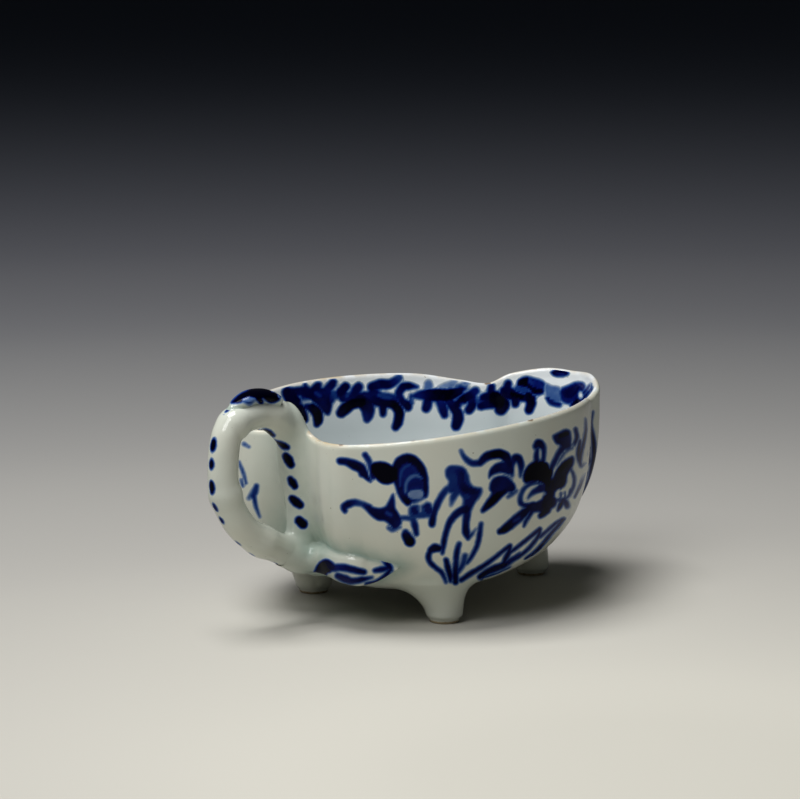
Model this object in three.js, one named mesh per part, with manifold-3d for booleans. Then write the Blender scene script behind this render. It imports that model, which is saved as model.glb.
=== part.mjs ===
// A small porcelain butter boat: a heart-shaped bowl with a pouring lip, a stalk handle
// with a thumb scroll on top and a leaf at its root, and three peg feet.
// Millimetres, +Z up, +X towards the lip, the lip and the handle both on the plane Y = 0.
import * as THREE from 'three';
import { mergeVertices } from 'three/addons/utils/BufferGeometryUtils.js';
import Module from 'manifold-3d';

const wasm = await Module();
wasm.setup();

// Bowl
const bowlWidth = 67.8;
const bowlMiddleX = 8;
const widestX = 8.4;
const cleftSetBack = 24;
const cleftDepth = 1.3;
const neckHeight = 43.6;
const neckWidth = 8.8;
const lobeSetBack = 24.6;
const lobeSpacing = 29.2;
const lobeHeight = 37.4;
const sideHeight = 40.65;
const shoulderHeight = 41.15;
const notchWidth = 29.4;
const notchHeight = 38.8;
const lipTipX = 57.8;
const lipLength = 11.6;
const lipHeight = 41.9;
const undersideHeight = 5.4;
const baseTilt = 0.07;
const wallThickness = 2.2;
const floorThickness = 2.6;
const rimSetOut = 0.4;

// Handle
const handleThickness = 5.9;
const handleReach = 40.4;
const handleTopHeight = 42.4;
const handleNeckDrop = 6;
const handleRootHeight = 11;
const knotSwell = 0.35;
const stemWidth = 4.7;
const stemSetIn = 3;

// Thumb scroll
const scrollLength = 10.2;
const scrollWidth = 6.4;
const scrollThickness = 2.9;
const scrollSetBack = 3.8;

// Leaf terminal
const leafWidth = 9.2;
const leafThickness = 3.4;

// Feet
const rearFootSetIn = 15;
const rearFootSetForward = 24.6;
const frontFootSetBack = 13.1;
const footBottomWidth = 4.8;
const footWidth = 7.2;
const footEdge = 0.55;
const pegHeight = 1.9;
const rearFootRootWidth = 15;
const rearFootRootRise = 3.2;
const frontFootRootWidth = 10;
const frontFootRootRise = 4.6;
const footInset = 4;
const footSinking = 5;

// Gap left between two pieces that meet
const clearance = 0.3;

const cleftX = -cleftSetBack;
const lobeRearX = -lobeSetBack;
const halfWidth = bowlWidth / 2;
const neckHalfWidth = neckWidth / 2;
const lobeHalfSpacing = lobeSpacing / 2;
const notchHalfWidth = notchWidth / 2;
const notchX = lipTipX - lipLength;
const handleRadius = handleThickness / 2;

const between = (from, to, share) => from + (to - from) * share;

// Stations along one half of the rim, from the cleft at the handle round to the tip of the
// lip. The fullness is the exponent of the wall's section: 2 is an ellipse, more is squarer.
const neckStations = [
  { x: cleftX, out: 0, height: neckHeight, fullness: 2.25 },
  {
    x: between(cleftX, cleftX + cleftDepth, 0.23),
    out: neckHalfWidth * 0.55,
    height: between(neckHeight, lobeHeight, 0.27),
    fullness: 2.3,
  },
  {
    x: cleftX + cleftDepth,
    out: neckHalfWidth,
    height: between(neckHeight, lobeHeight, 0.81),
    fullness: 2.5,
  },
];
const lobeStations = [
  [between(cleftX, cleftX + cleftDepth, 0.85), 0.235, 2.6],
  [between(lobeRearX, widestX, 0.007), 0.61, 2.65],
  [between(lobeRearX, widestX, 0.01), 1, 2.7],
].map(([x, outShare, fullness]) => ({
  x, out: between(neckHalfWidth, lobeHalfSpacing, outShare), height: lobeHeight, fullness,
}));
const sideStations = [
  [0.1, 0.543, 0.03, 2.8],
  [0.3, 0.752, 0.28, 3],
  [0.6, 0.93, 0.65, 3.4],
  [1, 1, 1, 3.6],
].map(([along, outShare, riseShare, fullness]) => ({
  x: between(lobeRearX, widestX, along),
  out: halfWidth * outShare,
  height: between(lobeHeight, sideHeight, riseShare),
  fullness,
}));
const shoulderStations = [
  [0.37, 0.86, 0, 3.6],
  [0.68, 0.54, 0.06, 3.6],
  [0.87, 0.205, 0.62, 3.5],
  [1, 0, 1, 3.5],
].map(([along, outShare, fallShare, fullness]) => ({
  x: between(widestX, notchX, along),
  out: between(notchHalfWidth, halfWidth, outShare),
  height: between(shoulderHeight, notchHeight, fallShare),
  fullness,
}));
const lipStations = [
  [0.43, 0.85, 0.58],
  [0.84, 0.435, 1],
  [1, 0, 0.94],
].map(([along, outShare, riseShare]) => ({
  x: between(notchX, lipTipX, along),
  out: notchHalfWidth * outShare,
  height: between(notchHeight, lipHeight, riseShare),
  fullness: 3.5,
}));
const rimStations = [
  ...neckStations, ...lobeStations, ...sideStations, ...shoulderStations, ...lipStations,
];

// The whole rim as a closed curve: the near half (negative Y) and then the far half back.
const nearStations = rimStations.map((s) => new THREE.Vector3(s.x, -s.out, s.height));
const farStations = rimStations.slice(1, -1).reverse()
  .map((s) => new THREE.Vector3(s.x, s.out, s.height));
const rimCurve = new THREE.CatmullRomCurve3([...nearStations, ...farStations], true, 'catmullrom', 0.5);
const stationCount = nearStations.length + farStations.length;

function fullnessAt(turn) {
  const place = turn * stationCount;
  const last = rimStations.length - 1;
  const along = Math.min(place, stationCount - place, last);
  const before = Math.min(Math.floor(along), last - 1);
  const share = along - before;
  return rimStations[before].fullness * (1 - share) + rimStations[before + 1].fullness * share;
}

// The rim's direction outwards in plan at one turn, from a short chord of the curve
function outwardAt(turn) {
  const step = 0.002;
  const before = rimCurve.getPoint((turn - step + 1) % 1);
  const after = rimCurve.getPoint((turn + step) % 1);
  return new THREE.Vector3(after.y - before.y, before.x - after.x, 0).normalize();
}

// One point of a bowl-shaped surface. The rim is set out from the rim curve by setOut and
// dropped by drop, and the bottom lies at bottomHeight. rise runs from 0 at the middle of
// the bottom to 1 at the rim.
function wallPoint(turn, rise, setOut, drop, bottomHeight) {
  const rim = rimCurve.getPoint(turn).addScaledVector(outwardAt(turn), setOut);
  rim.z -= drop;
  const power = 2 / fullnessAt(turn);
  const angle = rise * Math.PI / 2;
  const outShare = Math.sin(angle) ** power;
  const upShare = 1 - Math.cos(angle) ** power;
  const x = bowlMiddleX + (rim.x - bowlMiddleX) * outShare;
  const bottom = bottomHeight + baseTilt * (x - bowlMiddleX) * (1 - upShare);
  return new THREE.Vector3(x, rim.y * outShare, bottom + (rim.z - bottomHeight) * upShare);
}

// Joins rings of equally many points into one closed skin, with a point at each end
function loft(rings, startPoint, endPoint) {
  const count = rings[0].length;
  const points = [startPoint, ...rings.flat(), endPoint];
  const lastPoint = points.length - 1;
  const faces = [];
  for (let i = 0; i < count; i += 1) {
    const next = (i + 1) % count;
    faces.push(0, 1 + next, 1 + i);
    for (let ring = 0; ring < rings.length - 1; ring += 1) {
      const here = 1 + ring * count;
      const above = here + count;
      faces.push(here + i, here + next, above + next);
      faces.push(here + i, above + next, above + i);
    }
    const top = lastPoint - count;
    faces.push(top + i, top + next, lastPoint);
  }
  const geometry = new THREE.BufferGeometry().setFromPoints(points);
  geometry.setIndex(faces);
  return geometry;
}

// Signed volume, to turn a skin's faces outwards where a loft runs the other way
function faceOutwards(geometry) {
  const at = geometry.getAttribute('position');
  const index = geometry.getIndex().array;
  const a = new THREE.Vector3();
  const b = new THREE.Vector3();
  const c = new THREE.Vector3();
  let volume = 0;
  for (let i = 0; i < index.length; i += 3) {
    a.fromBufferAttribute(at, index[i]);
    b.fromBufferAttribute(at, index[i + 1]);
    c.fromBufferAttribute(at, index[i + 2]);
    volume += a.dot(b.cross(c));
  }
  if (volume < 0) {
    for (let i = 0; i < index.length; i += 3) {
      const kept = index[i];
      index[i] = index[i + 1];
      index[i + 1] = kept;
    }
  }
  return geometry;
}

function toSolid(geometry) {
  const bare = geometry.clone();
  bare.deleteAttribute('normal');
  bare.deleteAttribute('uv');
  const merged = faceOutwards(mergeVertices(bare, 1e-4));
  return new wasm.Manifold(new wasm.Mesh({
    numProp: 3,
    vertProperties: Float32Array.from(merged.getAttribute('position').array),
    triVerts: Uint32Array.from(merged.getIndex().array),
  }));
}

// The largest body of a cut, as a geometry: slivers that a cut leaves on the far side of
// the bowl's wall are no part of the piece
function toGeometry(solid) {
  const bodies = solid.decompose();
  bodies.sort((first, second) => second.volume() - first.volume());
  const mesh = bodies[0].getMesh();
  const geometry = new THREE.BufferGeometry();
  geometry.setAttribute('position', new THREE.BufferAttribute(mesh.vertProperties, 3));
  geometry.setIndex(new THREE.BufferAttribute(mesh.triVerts, 1));
  return geometry;
}

// Bowl: the outer wall from the middle of the underside up, over the rounded rim and down
// the inner wall to the middle of the floor
const turns = 104;
const outerSteps = 15;
const rimSteps = 3;
const innerSteps = 12;
const rimDrop = wallThickness * 0.42;

function bowlRing(rise, setOut, drop, bottomHeight) {
  const ring = [];
  for (let i = 0; i < turns; i += 1) {
    ring.push(wallPoint(i / turns, rise, setOut, drop, bottomHeight));
  }
  return ring;
}

function makeBowl() {
  const rings = [];
  for (let step = 1; step <= outerSteps; step += 1) {
    rings.push(bowlRing(step / outerSteps, rimSetOut, rimDrop, undersideHeight));
  }
  for (let step = 1; step <= rimSteps; step += 1) {
    const angle = Math.PI * step / (rimSteps + 1);
    const setOut = rimSetOut - wallThickness / 2 * (1 - Math.cos(angle));
    rings.push(bowlRing(1, setOut, rimDrop * (1 - Math.sin(angle)), undersideHeight));
  }
  const floorHeight = undersideHeight + floorThickness;
  for (let step = innerSteps; step >= 1; step -= 1) {
    rings.push(bowlRing(step / innerSteps, rimSetOut - wallThickness, rimDrop, floorHeight));
  }
  const underside = new THREE.Vector3(bowlMiddleX, 0, undersideHeight);
  const floor = new THREE.Vector3(bowlMiddleX, 0, floorHeight);
  return loft(rings, underside, floor);
}

// The bowl's outside as a filled block, grown by a gap, for cutting what is luted onto it
function bowlBlock(gap) {
  const rings = [];
  for (let step = 1; step <= outerSteps; step += 1) {
    rings.push(bowlRing(step / outerSteps, rimSetOut + gap, rimDrop, undersideHeight - gap));
  }
  for (let step = 1; step <= rimSteps; step += 1) {
    const angle = Math.PI / 2 * step / rimSteps;
    const setOut = rimSetOut + gap - (wallThickness / 2 + gap) * (1 - Math.cos(angle));
    const drop = rimDrop * (1 - Math.sin(angle)) - gap * Math.sin(angle);
    rings.push(bowlRing(1, setOut, drop, undersideHeight - gap));
  }
  const underside = new THREE.Vector3(bowlMiddleX, 0, undersideHeight - gap);
  const top = new THREE.Vector3(bowlMiddleX, 0, sideHeight);
  return loft(rings, underside, top);
}

// A rod of changing section along a curve. widthAt and depthAt give the half sizes across
// the curve, along side(turn of the curve) and square to it.
function rod(curve, steps, sides, widthAt, depthAt, sideAt) {
  const rings = [];
  for (let step = 1; step < steps; step += 1) {
    const place = step / steps;
    const middle = curve.getPoint(place);
    const along = curve.getTangent(place);
    const side = sideAt(place).clone();
    side.addScaledVector(along, -side.dot(along)).normalize();
    const up = new THREE.Vector3().crossVectors(along, side);
    const ring = [];
    for (let i = 0; i < sides; i += 1) {
      const angle = 2 * Math.PI * i / sides;
      ring.push(middle.clone()
        .addScaledVector(side, widthAt(place) * Math.cos(angle))
        .addScaledVector(up, depthAt(place) * Math.sin(angle)));
    }
    rings.push(ring);
  }
  return loft(rings, curve.getPoint(0), curve.getPoint(1));
}

const acrossY = () => new THREE.Vector3(0, 1, 0);

// Handle: a stalk that leaves the neck, turns down behind it and comes back under the keel.
// Each place is a share of the way from the handle's outermost point to the cleft, and a
// share of the height from the handle's root to its top.
const stalkPlaces = [
  [0.604, 1],
  [0.317, 0.987],
  [0.116, 0.936],
  [0.03, 0.841],
  [0, 0.691],
  [0.018, 0.567],
  [0.104, 0.449],
  [0.256, 0.334],
  [0.482, 0.239],
  [0.8, 0.159],
  [1.134, 0.08],
  [1.439, 0.025],
  [1.683, 0],
];
const handlePoints = [
  [between(-handleReach, cleftX, 1.22), neckHeight - handleNeckDrop],
  [between(-handleReach, cleftX, 0.927), neckHeight - handleNeckDrop / 2],
  ...stalkPlaces.map(([along, up]) => [
    between(-handleReach, cleftX, along), between(handleRootHeight, handleTopHeight, up),
  ]),
];
const handleCurve = new THREE.CatmullRomCurve3(
  handlePoints.map(([x, z]) => new THREE.Vector3(x, 0, z)), false, 'catmullrom', 0.5,
);

// Knots of the stalk, as places along the curve from 0 to 1
const knots = [0.26, 0.52, 0.74, 0.86];
const knotSpread = 0.025;
const stalkSteps = 48;
const stalkSides = 16;

function handleHalfThickness(place, gap) {
  let swell = 0;
  for (const knot of knots) {
    swell += knotSwell * Math.exp(-(((place - knot) / knotSpread) ** 2));
  }
  return handleRadius + swell + gap;
}

function makeStalk(gap) {
  const half = (place) => handleHalfThickness(place, gap);
  return rod(handleCurve, stalkSteps, stalkSides, half, half, acrossY);
}

// Stem: the handle's back, luted into the bowl's cleft from the neck to the stalk's root
const stemPlaces = [
  [-1.2, 0.95],
  [-0.5, 0.865],
  [0.35, 0.75],
  [0.8, 0.53],
  [1, 0.35],
  [1, 0.09],
];
const stemCurve = new THREE.CatmullRomCurve3(
  stemPlaces.map(([inShare, up]) => new THREE.Vector3(
    cleftX + stemSetIn * inShare, 0, between(handleRootHeight, neckHeight, up),
  )), false, 'catmullrom', 0.5,
);

const stemSteps = 18;
const stemEndSwell = 0.16;

function makeStem(gap) {
  const half = (place) => stemWidth / 2 * (1 + stemEndSwell * (2 * place - 1) ** 2) + gap;
  return rod(stemCurve, stemSteps, stalkSides, half, half, acrossY);
}

function handleSolid(gap) {
  return toSolid(makeStalk(gap)).add(toSolid(makeStem(gap)));
}

// Thumb scroll: a bud lying on the handle's top, thin at its tail, with a curled front end.
// Each place is a share of its length behind the front and of its thickness above the stalk.
const scrollPlaces = [
  [1, -0.42],
  [0.84, -0.13],
  [0.56, 0.17],
  [0.26, 0.14],
  [0.06, -0.14],
  [-0.05, -0.34],
];
const scrollFrontX = cleftX - scrollSetBack;
const scrollCurve = new THREE.CatmullRomCurve3(
  scrollPlaces.map(([back, up]) => new THREE.Vector3(
    scrollFrontX - scrollLength * back, 0, handleTopHeight + handleRadius + scrollThickness * up,
  )), false, 'catmullrom', 0.5,
);

const scrollSteps = 20;
const leafSteps = 26;
const leafSides = 14;

function scrollShare(place) {
  const body = Math.sin(Math.PI * Math.min(1, 0.06 + 0.62 * place)) ** 0.8;
  const end = Math.sqrt(Math.max(0, 1 - Math.max(0, (place - 0.86) / 0.14) ** 2));
  return Math.max(0.12, body * end);
}

function makeScroll() {
  const width = (place) => scrollWidth / 2 * scrollShare(place);
  const depth = (place) => scrollThickness / 2 * (0.35 + 0.65 * scrollShare(place));
  return rod(scrollCurve, scrollSteps, leafSides, width, depth, acrossY);
}

// Leaf terminal: a pointed leaf that leaves the handle's root and lies round the near lobe.
// Its places on the bowl's wall are given as turn of the rim and rise of the wall.
const leafPlaces = [
  { turn: 0.04, rise: 0.505 },
  { turn: 0.085, rise: 0.535 },
  { turn: 0.13, rise: 0.54 },
  { turn: 0.165, rise: 0.54 },
  { turn: 0.188, rise: 0.545 },
  { turn: 0.2075, rise: 0.57 },
];
const leafTrack = new THREE.CatmullRomCurve3(
  leafPlaces.map(({ turn, rise }) => new THREE.Vector3(turn, rise, 0)), false, 'catmullrom', 0.5,
);

function onOuterWall(turn, rise) {
  return wallPoint(turn, rise, rimSetOut, rimDrop, undersideHeight);
}

function outerWallNormal(turn, rise) {
  const step = 0.004;
  const round = onOuterWall(turn + step, rise).sub(onOuterWall(turn - step, rise));
  const up = onOuterWall(turn, rise + step).sub(onOuterWall(turn, rise - step));
  return round.cross(up).normalize();
}

const leafCurve = new THREE.CatmullRomCurve3(
  leafTrack.getPoints(20).map((at) => (
    onOuterWall(at.x, at.y).addScaledVector(outerWallNormal(at.x, at.y), clearance)
  )), false, 'catmullrom', 0.5,
);

function makeLeaf() {
  const outline = (place) => Math.sin(Math.PI * (0.16 + 0.84 * place)) ** 0.75;
  const outOfWall = (place) => {
    const at = leafTrack.getPoint(place);
    return outerWallNormal(at.x, at.y);
  };
  const proud = (place) => leafThickness * (0.5 * outline(place) + 0.15);
  const across = (place) => leafWidth * (0.5 * outline(place) + 0.01);
  return rod(leafCurve, leafSteps, leafSides, proud, across, outOfWall);
}

// Peg foot: turned about its own axis, flat below, flaring into the bowl above. The flare is
// set in from the peg, towards the middle of the bowl.
const flareSteps = 5;
const footSides = 28;

function footProfile(rootHeight, rootWidth) {
  const peg = footWidth / 2;
  const profile = [[0, 0], [footBottomWidth / 2, 0], [peg - footEdge, footEdge], [peg, pegHeight]];
  for (let step = 1; step <= flareSteps; step += 1) {
    const share = step / flareSteps;
    const height = pegHeight + (rootHeight - pegHeight) * share;
    profile.push([peg + (rootWidth / 2 - peg) * share ** 2, height]);
  }
  profile.push([rootWidth / 2, rootHeight + footSinking], [0, rootHeight + footSinking]);
  return profile.map(([radius, height]) => new THREE.Vector2(radius, height));
}

function makeFoot(x, y, insetX, insetY, rootHeight, rootWidth) {
  const geometry = new THREE.LatheGeometry(footProfile(rootHeight, rootWidth), footSides);
  geometry.rotateX(Math.PI / 2);
  const at = geometry.getAttribute('position');
  for (let i = 0; i < at.count; i += 1) {
    const share = (at.getZ(i) - pegHeight) / (rootHeight - pegHeight);
    const inset = THREE.MathUtils.clamp(share, 0, 1) ** 1.5;
    at.setXYZ(i, at.getX(i) + x + insetX * inset, at.getY(i) + y + insetY * inset, at.getZ(i));
  }
  return toSolid(geometry);
}

function makeRearFoot(side) {
  return makeFoot(
    lobeRearX + rearFootSetForward, side * (halfWidth - rearFootSetIn),
    -footInset * 0.6, -side * footInset * 0.8,
    undersideHeight + rearFootRootRise, rearFootRootWidth,
  );
}

function makeFrontFoot() {
  return makeFoot(
    lipTipX - frontFootSetBack, 0, -footInset, 0,
    undersideHeight + frontFootRootRise, frontFootRootWidth,
  );
}

const bowlCutter = toSolid(bowlBlock(clearance));
const handleCutter = handleSolid(clearance);

const bowlGeometry = makeBowl();
const handleGeometry = toGeometry(handleSolid(0).subtract(bowlCutter));
const scrollGeometry = toGeometry(toSolid(makeScroll()).subtract(handleCutter).subtract(bowlCutter));
const leafGeometry = toGeometry(toSolid(makeLeaf()).subtract(handleCutter).subtract(bowlCutter));
const nearFootGeometry = toGeometry(makeRearFoot(-1).subtract(bowlCutter));
const farFootGeometry = toGeometry(makeRearFoot(1).subtract(bowlCutter));
const frontFootGeometry = toGeometry(makeFrontFoot().subtract(bowlCutter));

const part = new THREE.Group();

function addPiece(name, geometry, colour) {
  const flat = geometry.index ? geometry.toNonIndexed() : geometry;
  const welded = faceOutwards(mergeVertices(flat, 1e-4));
  welded.computeVertexNormals();
  const material = new THREE.MeshStandardMaterial({ color: colour, roughness: 0.16, metalness: 0 });
  const mesh = new THREE.Mesh(welded, material);
  mesh.name = name;
  part.add(mesh);
}

addPiece('bowl', bowlGeometry, 0xdfe5e0);
addPiece('handle', handleGeometry, 0xe4e6de);
addPiece('thumb_scroll', scrollGeometry, 0x16245e);
addPiece('leaf_terminal', leafGeometry, 0xdde3de);
addPiece('rear_foot_near', nearFootGeometry, 0xe0e2da);
addPiece('rear_foot_far', farFootGeometry, 0xe0e2da);
addPiece('front_foot', frontFootGeometry, 0xe0e2da);

// The origin goes to the middle of the part's outline, on the surface it stands on
const bounds = new THREE.Box3().setFromObject(part);
const middle = bounds.getCenter(new THREE.Vector3());
part.position.set(-middle.x, -middle.y, -bounds.min.z);

export default part;
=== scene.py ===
import math

import bpy
import numpy as np
from mathutils import Matrix, Vector
from mathutils.bvhtree import BVHTree


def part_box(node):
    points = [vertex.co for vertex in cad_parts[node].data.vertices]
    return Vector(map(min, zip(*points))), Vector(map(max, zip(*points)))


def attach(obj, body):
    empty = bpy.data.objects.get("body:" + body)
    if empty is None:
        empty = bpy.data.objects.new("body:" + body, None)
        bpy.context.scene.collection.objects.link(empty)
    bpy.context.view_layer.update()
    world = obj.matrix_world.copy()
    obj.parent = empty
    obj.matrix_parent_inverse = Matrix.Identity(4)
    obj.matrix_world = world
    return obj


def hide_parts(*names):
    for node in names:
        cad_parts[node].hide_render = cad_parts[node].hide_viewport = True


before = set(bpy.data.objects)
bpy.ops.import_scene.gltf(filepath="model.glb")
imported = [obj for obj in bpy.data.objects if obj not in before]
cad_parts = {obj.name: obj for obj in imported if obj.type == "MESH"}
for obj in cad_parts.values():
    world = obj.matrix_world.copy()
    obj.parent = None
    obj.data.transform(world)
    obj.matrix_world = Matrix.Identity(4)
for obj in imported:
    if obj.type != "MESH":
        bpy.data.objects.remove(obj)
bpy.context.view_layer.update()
print("frame loaded:", sorted(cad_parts))

# Shapes are worked out in millimetres, and meshes are written in metres
metresPerMm = 0.001
farAway = 99.0
# keeps a length of nothing from dividing anything
tiny = 1e-9

# Camera: where the photograph was taken from (place in mm, angles in degrees, lens in mm)
photoCamera = {
    "place": (-412.92, -424.0, 132.4),
    "heading": 44.16,
    "tilt": 8.78,
    "lens": 135.0,
    "sensor": 36.0,
    "pixelsWide": 800,
    "pixelsHigh": 799,
    "sightInMetres": 100.0,
}


def cameraAxes():
    heading = math.radians(photoCamera["heading"])
    tilt = math.radians(photoCamera["tilt"])
    forward = np.array([
        math.sin(heading) * math.cos(tilt), math.cos(heading) * math.cos(tilt), -math.sin(tilt),
    ])
    right = np.array([math.cos(heading), -math.sin(heading), 0.0])
    return right, np.cross(right, forward), forward


cameraRight, cameraUp, cameraForward = cameraAxes()
cameraPlace = np.array(photoCamera["place"])


def toPixels(points):
    # where each point lies in the photograph, in pixels from its top left corner
    seen = points - cameraPlace
    focal = photoCamera["lens"] / photoCamera["sensor"] * photoCamera["pixelsWide"]
    depth = seen @ cameraForward
    across = photoCamera["pixelsWide"] / 2 + focal * (seen @ cameraRight) / depth
    down = photoCamera["pixelsHigh"] / 2 - focal * (seen @ cameraUp) / depth
    return np.stack([across, down], -1)


def facesCamera(points, normals, least=0.0):
    # least is the smallest cosine between the surface and the line of sight
    return np.sum(normals * unit(cameraPlace - points), -1) > least


def addObject(name, data):
    added = bpy.data.objects.new(name, data)
    bpy.context.scene.collection.objects.link(added)
    return added


def makeCamera():
    data = bpy.data.cameras.new("photo_camera")
    data.lens = photoCamera["lens"]
    data.sensor_width = photoCamera["sensor"]
    data.sensor_fit = "HORIZONTAL"
    data.clip_end = photoCamera["sightInMetres"]
    camera = addObject("photo_camera", data)
    axes = np.stack([cameraRight, cameraUp, -cameraForward], 1)
    camera.matrix_world = Matrix.Translation(cameraPlace * metresPerMm) @ Matrix(axes.tolist()).to_4x4()
    bpy.context.scene.camera = camera


makeCamera()
print("camera placed")


# Curves through points
def closedCurve(knots, turns):
    knots = np.asarray(knots, float)
    place = (np.asarray(turns) % 1) * len(knots)
    first = np.floor(place).astype(int)
    share = (place - first)[..., None]
    a, b, c, d = (knots[(first + step) % len(knots)] for step in (-1, 0, 1, 2))
    return throughFour(a, b, c, d, share)


def openCurve(knots, places):
    knots = np.asarray(knots, float)
    padded = np.vstack([2 * knots[0] - knots[1], knots, 2 * knots[-1] - knots[-2]])
    place = np.clip(places, 0, 1) * (len(knots) - 1)
    first = np.minimum(np.floor(place).astype(int), len(knots) - 2)
    share = (place - first)[..., None]
    a, b, c, d = (padded[first + step] for step in range(4))
    return throughFour(a, b, c, d, share)


def throughFour(a, b, c, d, share):
    outward = (c - a) / 2
    onward = (d - b) / 2
    return (
        (2 * b - 2 * c + outward + onward) * share ** 3
        + (-3 * b + 3 * c - 2 * outward - onward) * share ** 2
        + outward * share + b
    )


def between(start, end, share):
    return start + (end - start) * share


def rampUp(values, low, high):
    # 0 as far as low, 1 from high on, and straight between them
    return np.clip((values - low) / (high - low), 0, 1)


def unit(vectors):
    return vectors / np.maximum(np.linalg.norm(vectors, axis=-1, keepdims=True), tiny)


def alongSegment(points, a, b):
    # how far from a to b each point lies, from 0 to 1, and its offset from that place
    along = b - a
    share = np.clip((points - a) @ along / max(along @ along, tiny), 0, 1)
    return share, points - a - share[:, None] * along


# Bowl: a heart-shaped wall with a cleft at the handle and a pouring lip. Millimetres, with
# X = 0 between the rear feet, as the part's source has it; shiftX takes it to the frame.
bowl = {
    "width": 67.8,
    "middleX": 8.0,
    "widestX": 8.4,
    "cleftX": -24.0,
    "cleftDepth": 1.3,
    "neckHeight": 43.6,
    "neckWidth": 8.8,
    "lobeRearX": -24.6,
    "lobeSpacing": 29.2,
    "lobeHeight": 37.4,
    "sideHeight": 40.65,
    "shoulderHeight": 41.15,
    "notchWidth": 29.4,
    "notchHeight": 38.8,
    "lipTipX": 57.8,
    "lipLength": 11.6,
    "lipHeight": 41.9,
    "undersideHeight": 5.4,
    "baseTilt": 0.07,
    "wallThickness": 2.2,
    "floorThickness": 2.6,
    "rimSetOut": 0.4,
    "rimDropShare": 0.42,
    "rimTaper": 0.75,
    "taperShare": 0.1,
}
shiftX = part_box("bowl")[1].x / metresPerMm - bowl["lipTipX"] - bowl["rimSetOut"]


def rimStations():
    # x, distance out from the middle, height and fullness along one half of the rim
    b = bowl
    half = b["width"] / 2
    neck = b["neckWidth"] / 2
    lobe = b["lobeSpacing"] / 2
    notch = b["notchWidth"] / 2
    notchX = b["lipTipX"] - b["lipLength"]
    cleftEnd = b["cleftX"] + b["cleftDepth"]
    stations = [
        (b["cleftX"], 0, b["neckHeight"], 2.25),
        (between(b["cleftX"], cleftEnd, 0.23), neck * 0.55,
         between(b["neckHeight"], b["lobeHeight"], 0.27), 2.3),
        (cleftEnd, neck, between(b["neckHeight"], b["lobeHeight"], 0.81), 2.5),
        (between(b["cleftX"], cleftEnd, 0.85), between(neck, lobe, 0.235), b["lobeHeight"], 2.6),
        (between(b["lobeRearX"], b["widestX"], 0.007), between(neck, lobe, 0.61),
         b["lobeHeight"], 2.65),
        (between(b["lobeRearX"], b["widestX"], 0.01), lobe, b["lobeHeight"], 2.7),
    ]
    for along, out, rise, fullness in (
        (0.1, 0.543, 0.03, 2.8), (0.3, 0.752, 0.28, 3.0), (0.6, 0.93, 0.65, 3.4), (1, 1, 1, 3.6),
    ):
        stations.append((
            between(b["lobeRearX"], b["widestX"], along), half * out,
            between(b["lobeHeight"], b["sideHeight"], rise), fullness,
        ))
    for along, out, fall, fullness in (
        (0.37, 0.86, 0, 3.6), (0.68, 0.54, 0.06, 3.6), (0.87, 0.205, 0.62, 3.5), (1, 0, 1, 3.5),
    ):
        stations.append((
            between(b["widestX"], notchX, along), between(notch, half, out),
            between(b["shoulderHeight"], b["notchHeight"], fall), fullness,
        ))
    for along, out, rise in ((0.43, 0.85, 0.58), (0.84, 0.435, 1), (1, 0, 0.94)):
        stations.append((
            between(notchX, b["lipTipX"], along), notch * out,
            between(b["notchHeight"], b["lipHeight"], rise), 3.5,
        ))
    near = np.array(stations)
    near[:, 1] *= -1
    far = near[-2:0:-1] * (1, -1, 1, 1)
    return np.vstack([near, far])


stations = rimStations()


def fullnessAt(turns):
    place = (np.asarray(turns) % 1) * len(stations)
    return np.interp(place, np.arange(len(stations) + 1), np.append(stations[:, 3], stations[0, 3]))


def rimOutward(turns, step=0.002):
    before = closedCurve(stations[:, :3], turns - step)
    after = closedCurve(stations[:, :3], turns + step)
    away = np.stack([
        after[..., 1] - before[..., 1], before[..., 0] - after[..., 0], np.zeros_like(turns),
    ], -1)
    return unit(away)


def wallPoint(turns, rises, setOut, drop, bottom):
    # rises run from 0 at the middle of the bottom to 1 at the rim
    turns, rises, setOut, drop = np.broadcast_arrays(
        np.asarray(turns, float), rises, setOut, drop)
    rim = closedCurve(stations[:, :3], turns) + rimOutward(turns) * setOut[..., None]
    height = rim[..., 2] - drop
    power = 2 / fullnessAt(turns)
    angle = rises * math.pi / 2
    out = np.sin(angle) ** power
    up = 1 - np.abs(np.cos(angle)) ** power
    x = bowl["middleX"] + (rim[..., 0] - bowl["middleX"]) * out
    low = bottom + bowl["baseTilt"] * (x - bowl["middleX"]) * (1 - up)
    return np.stack([x + shiftX, rim[..., 1] * out, low + (height - bottom) * up], -1)


rimDrop = bowl["wallThickness"] * bowl["rimDropShare"]
floorHeight = bowl["undersideHeight"] + bowl["floorThickness"]
innerSetOut = bowl["rimSetOut"] - bowl["wallThickness"]

# How finely each part of the bowl's skin is woven, with rows close together where it is painted, and
# how finely the rim and each column of the wall are measured for that
bowlWeave = {
    "nearTurns": 372,
    "farTurns": 256,
    "outerRows": 104,
    "outerPaintedShare": 0.62,
    "outerPaintedRows": 94,
    "innerRows": 40,
    "innerPaintedShare": 0.2,
    "innerPaintedRows": 30,
    "rimRows": 7,
    "samplesPerHalf": 2000,
    "columnSteps": 240,
    "columnPower": 1.5,
}


def evenTurns():
    # turns at even distances along the rim, closer together on the near half
    samples = bowlWeave["samplesPerHalf"]
    dense = np.linspace(0, 1, 2 * samples + 1)
    rim = closedCurve(stations[:, :3], dense)
    length = np.concatenate([[0], np.cumsum(np.linalg.norm(np.diff(rim, axis=0), axis=1))])
    near = np.linspace(0, length[samples], bowlWeave["nearTurns"], endpoint=False)
    far = np.linspace(length[samples], length[-1], bowlWeave["farTurns"], endpoint=False)
    return np.interp(np.concatenate([near, far]), length, dense)


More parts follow.
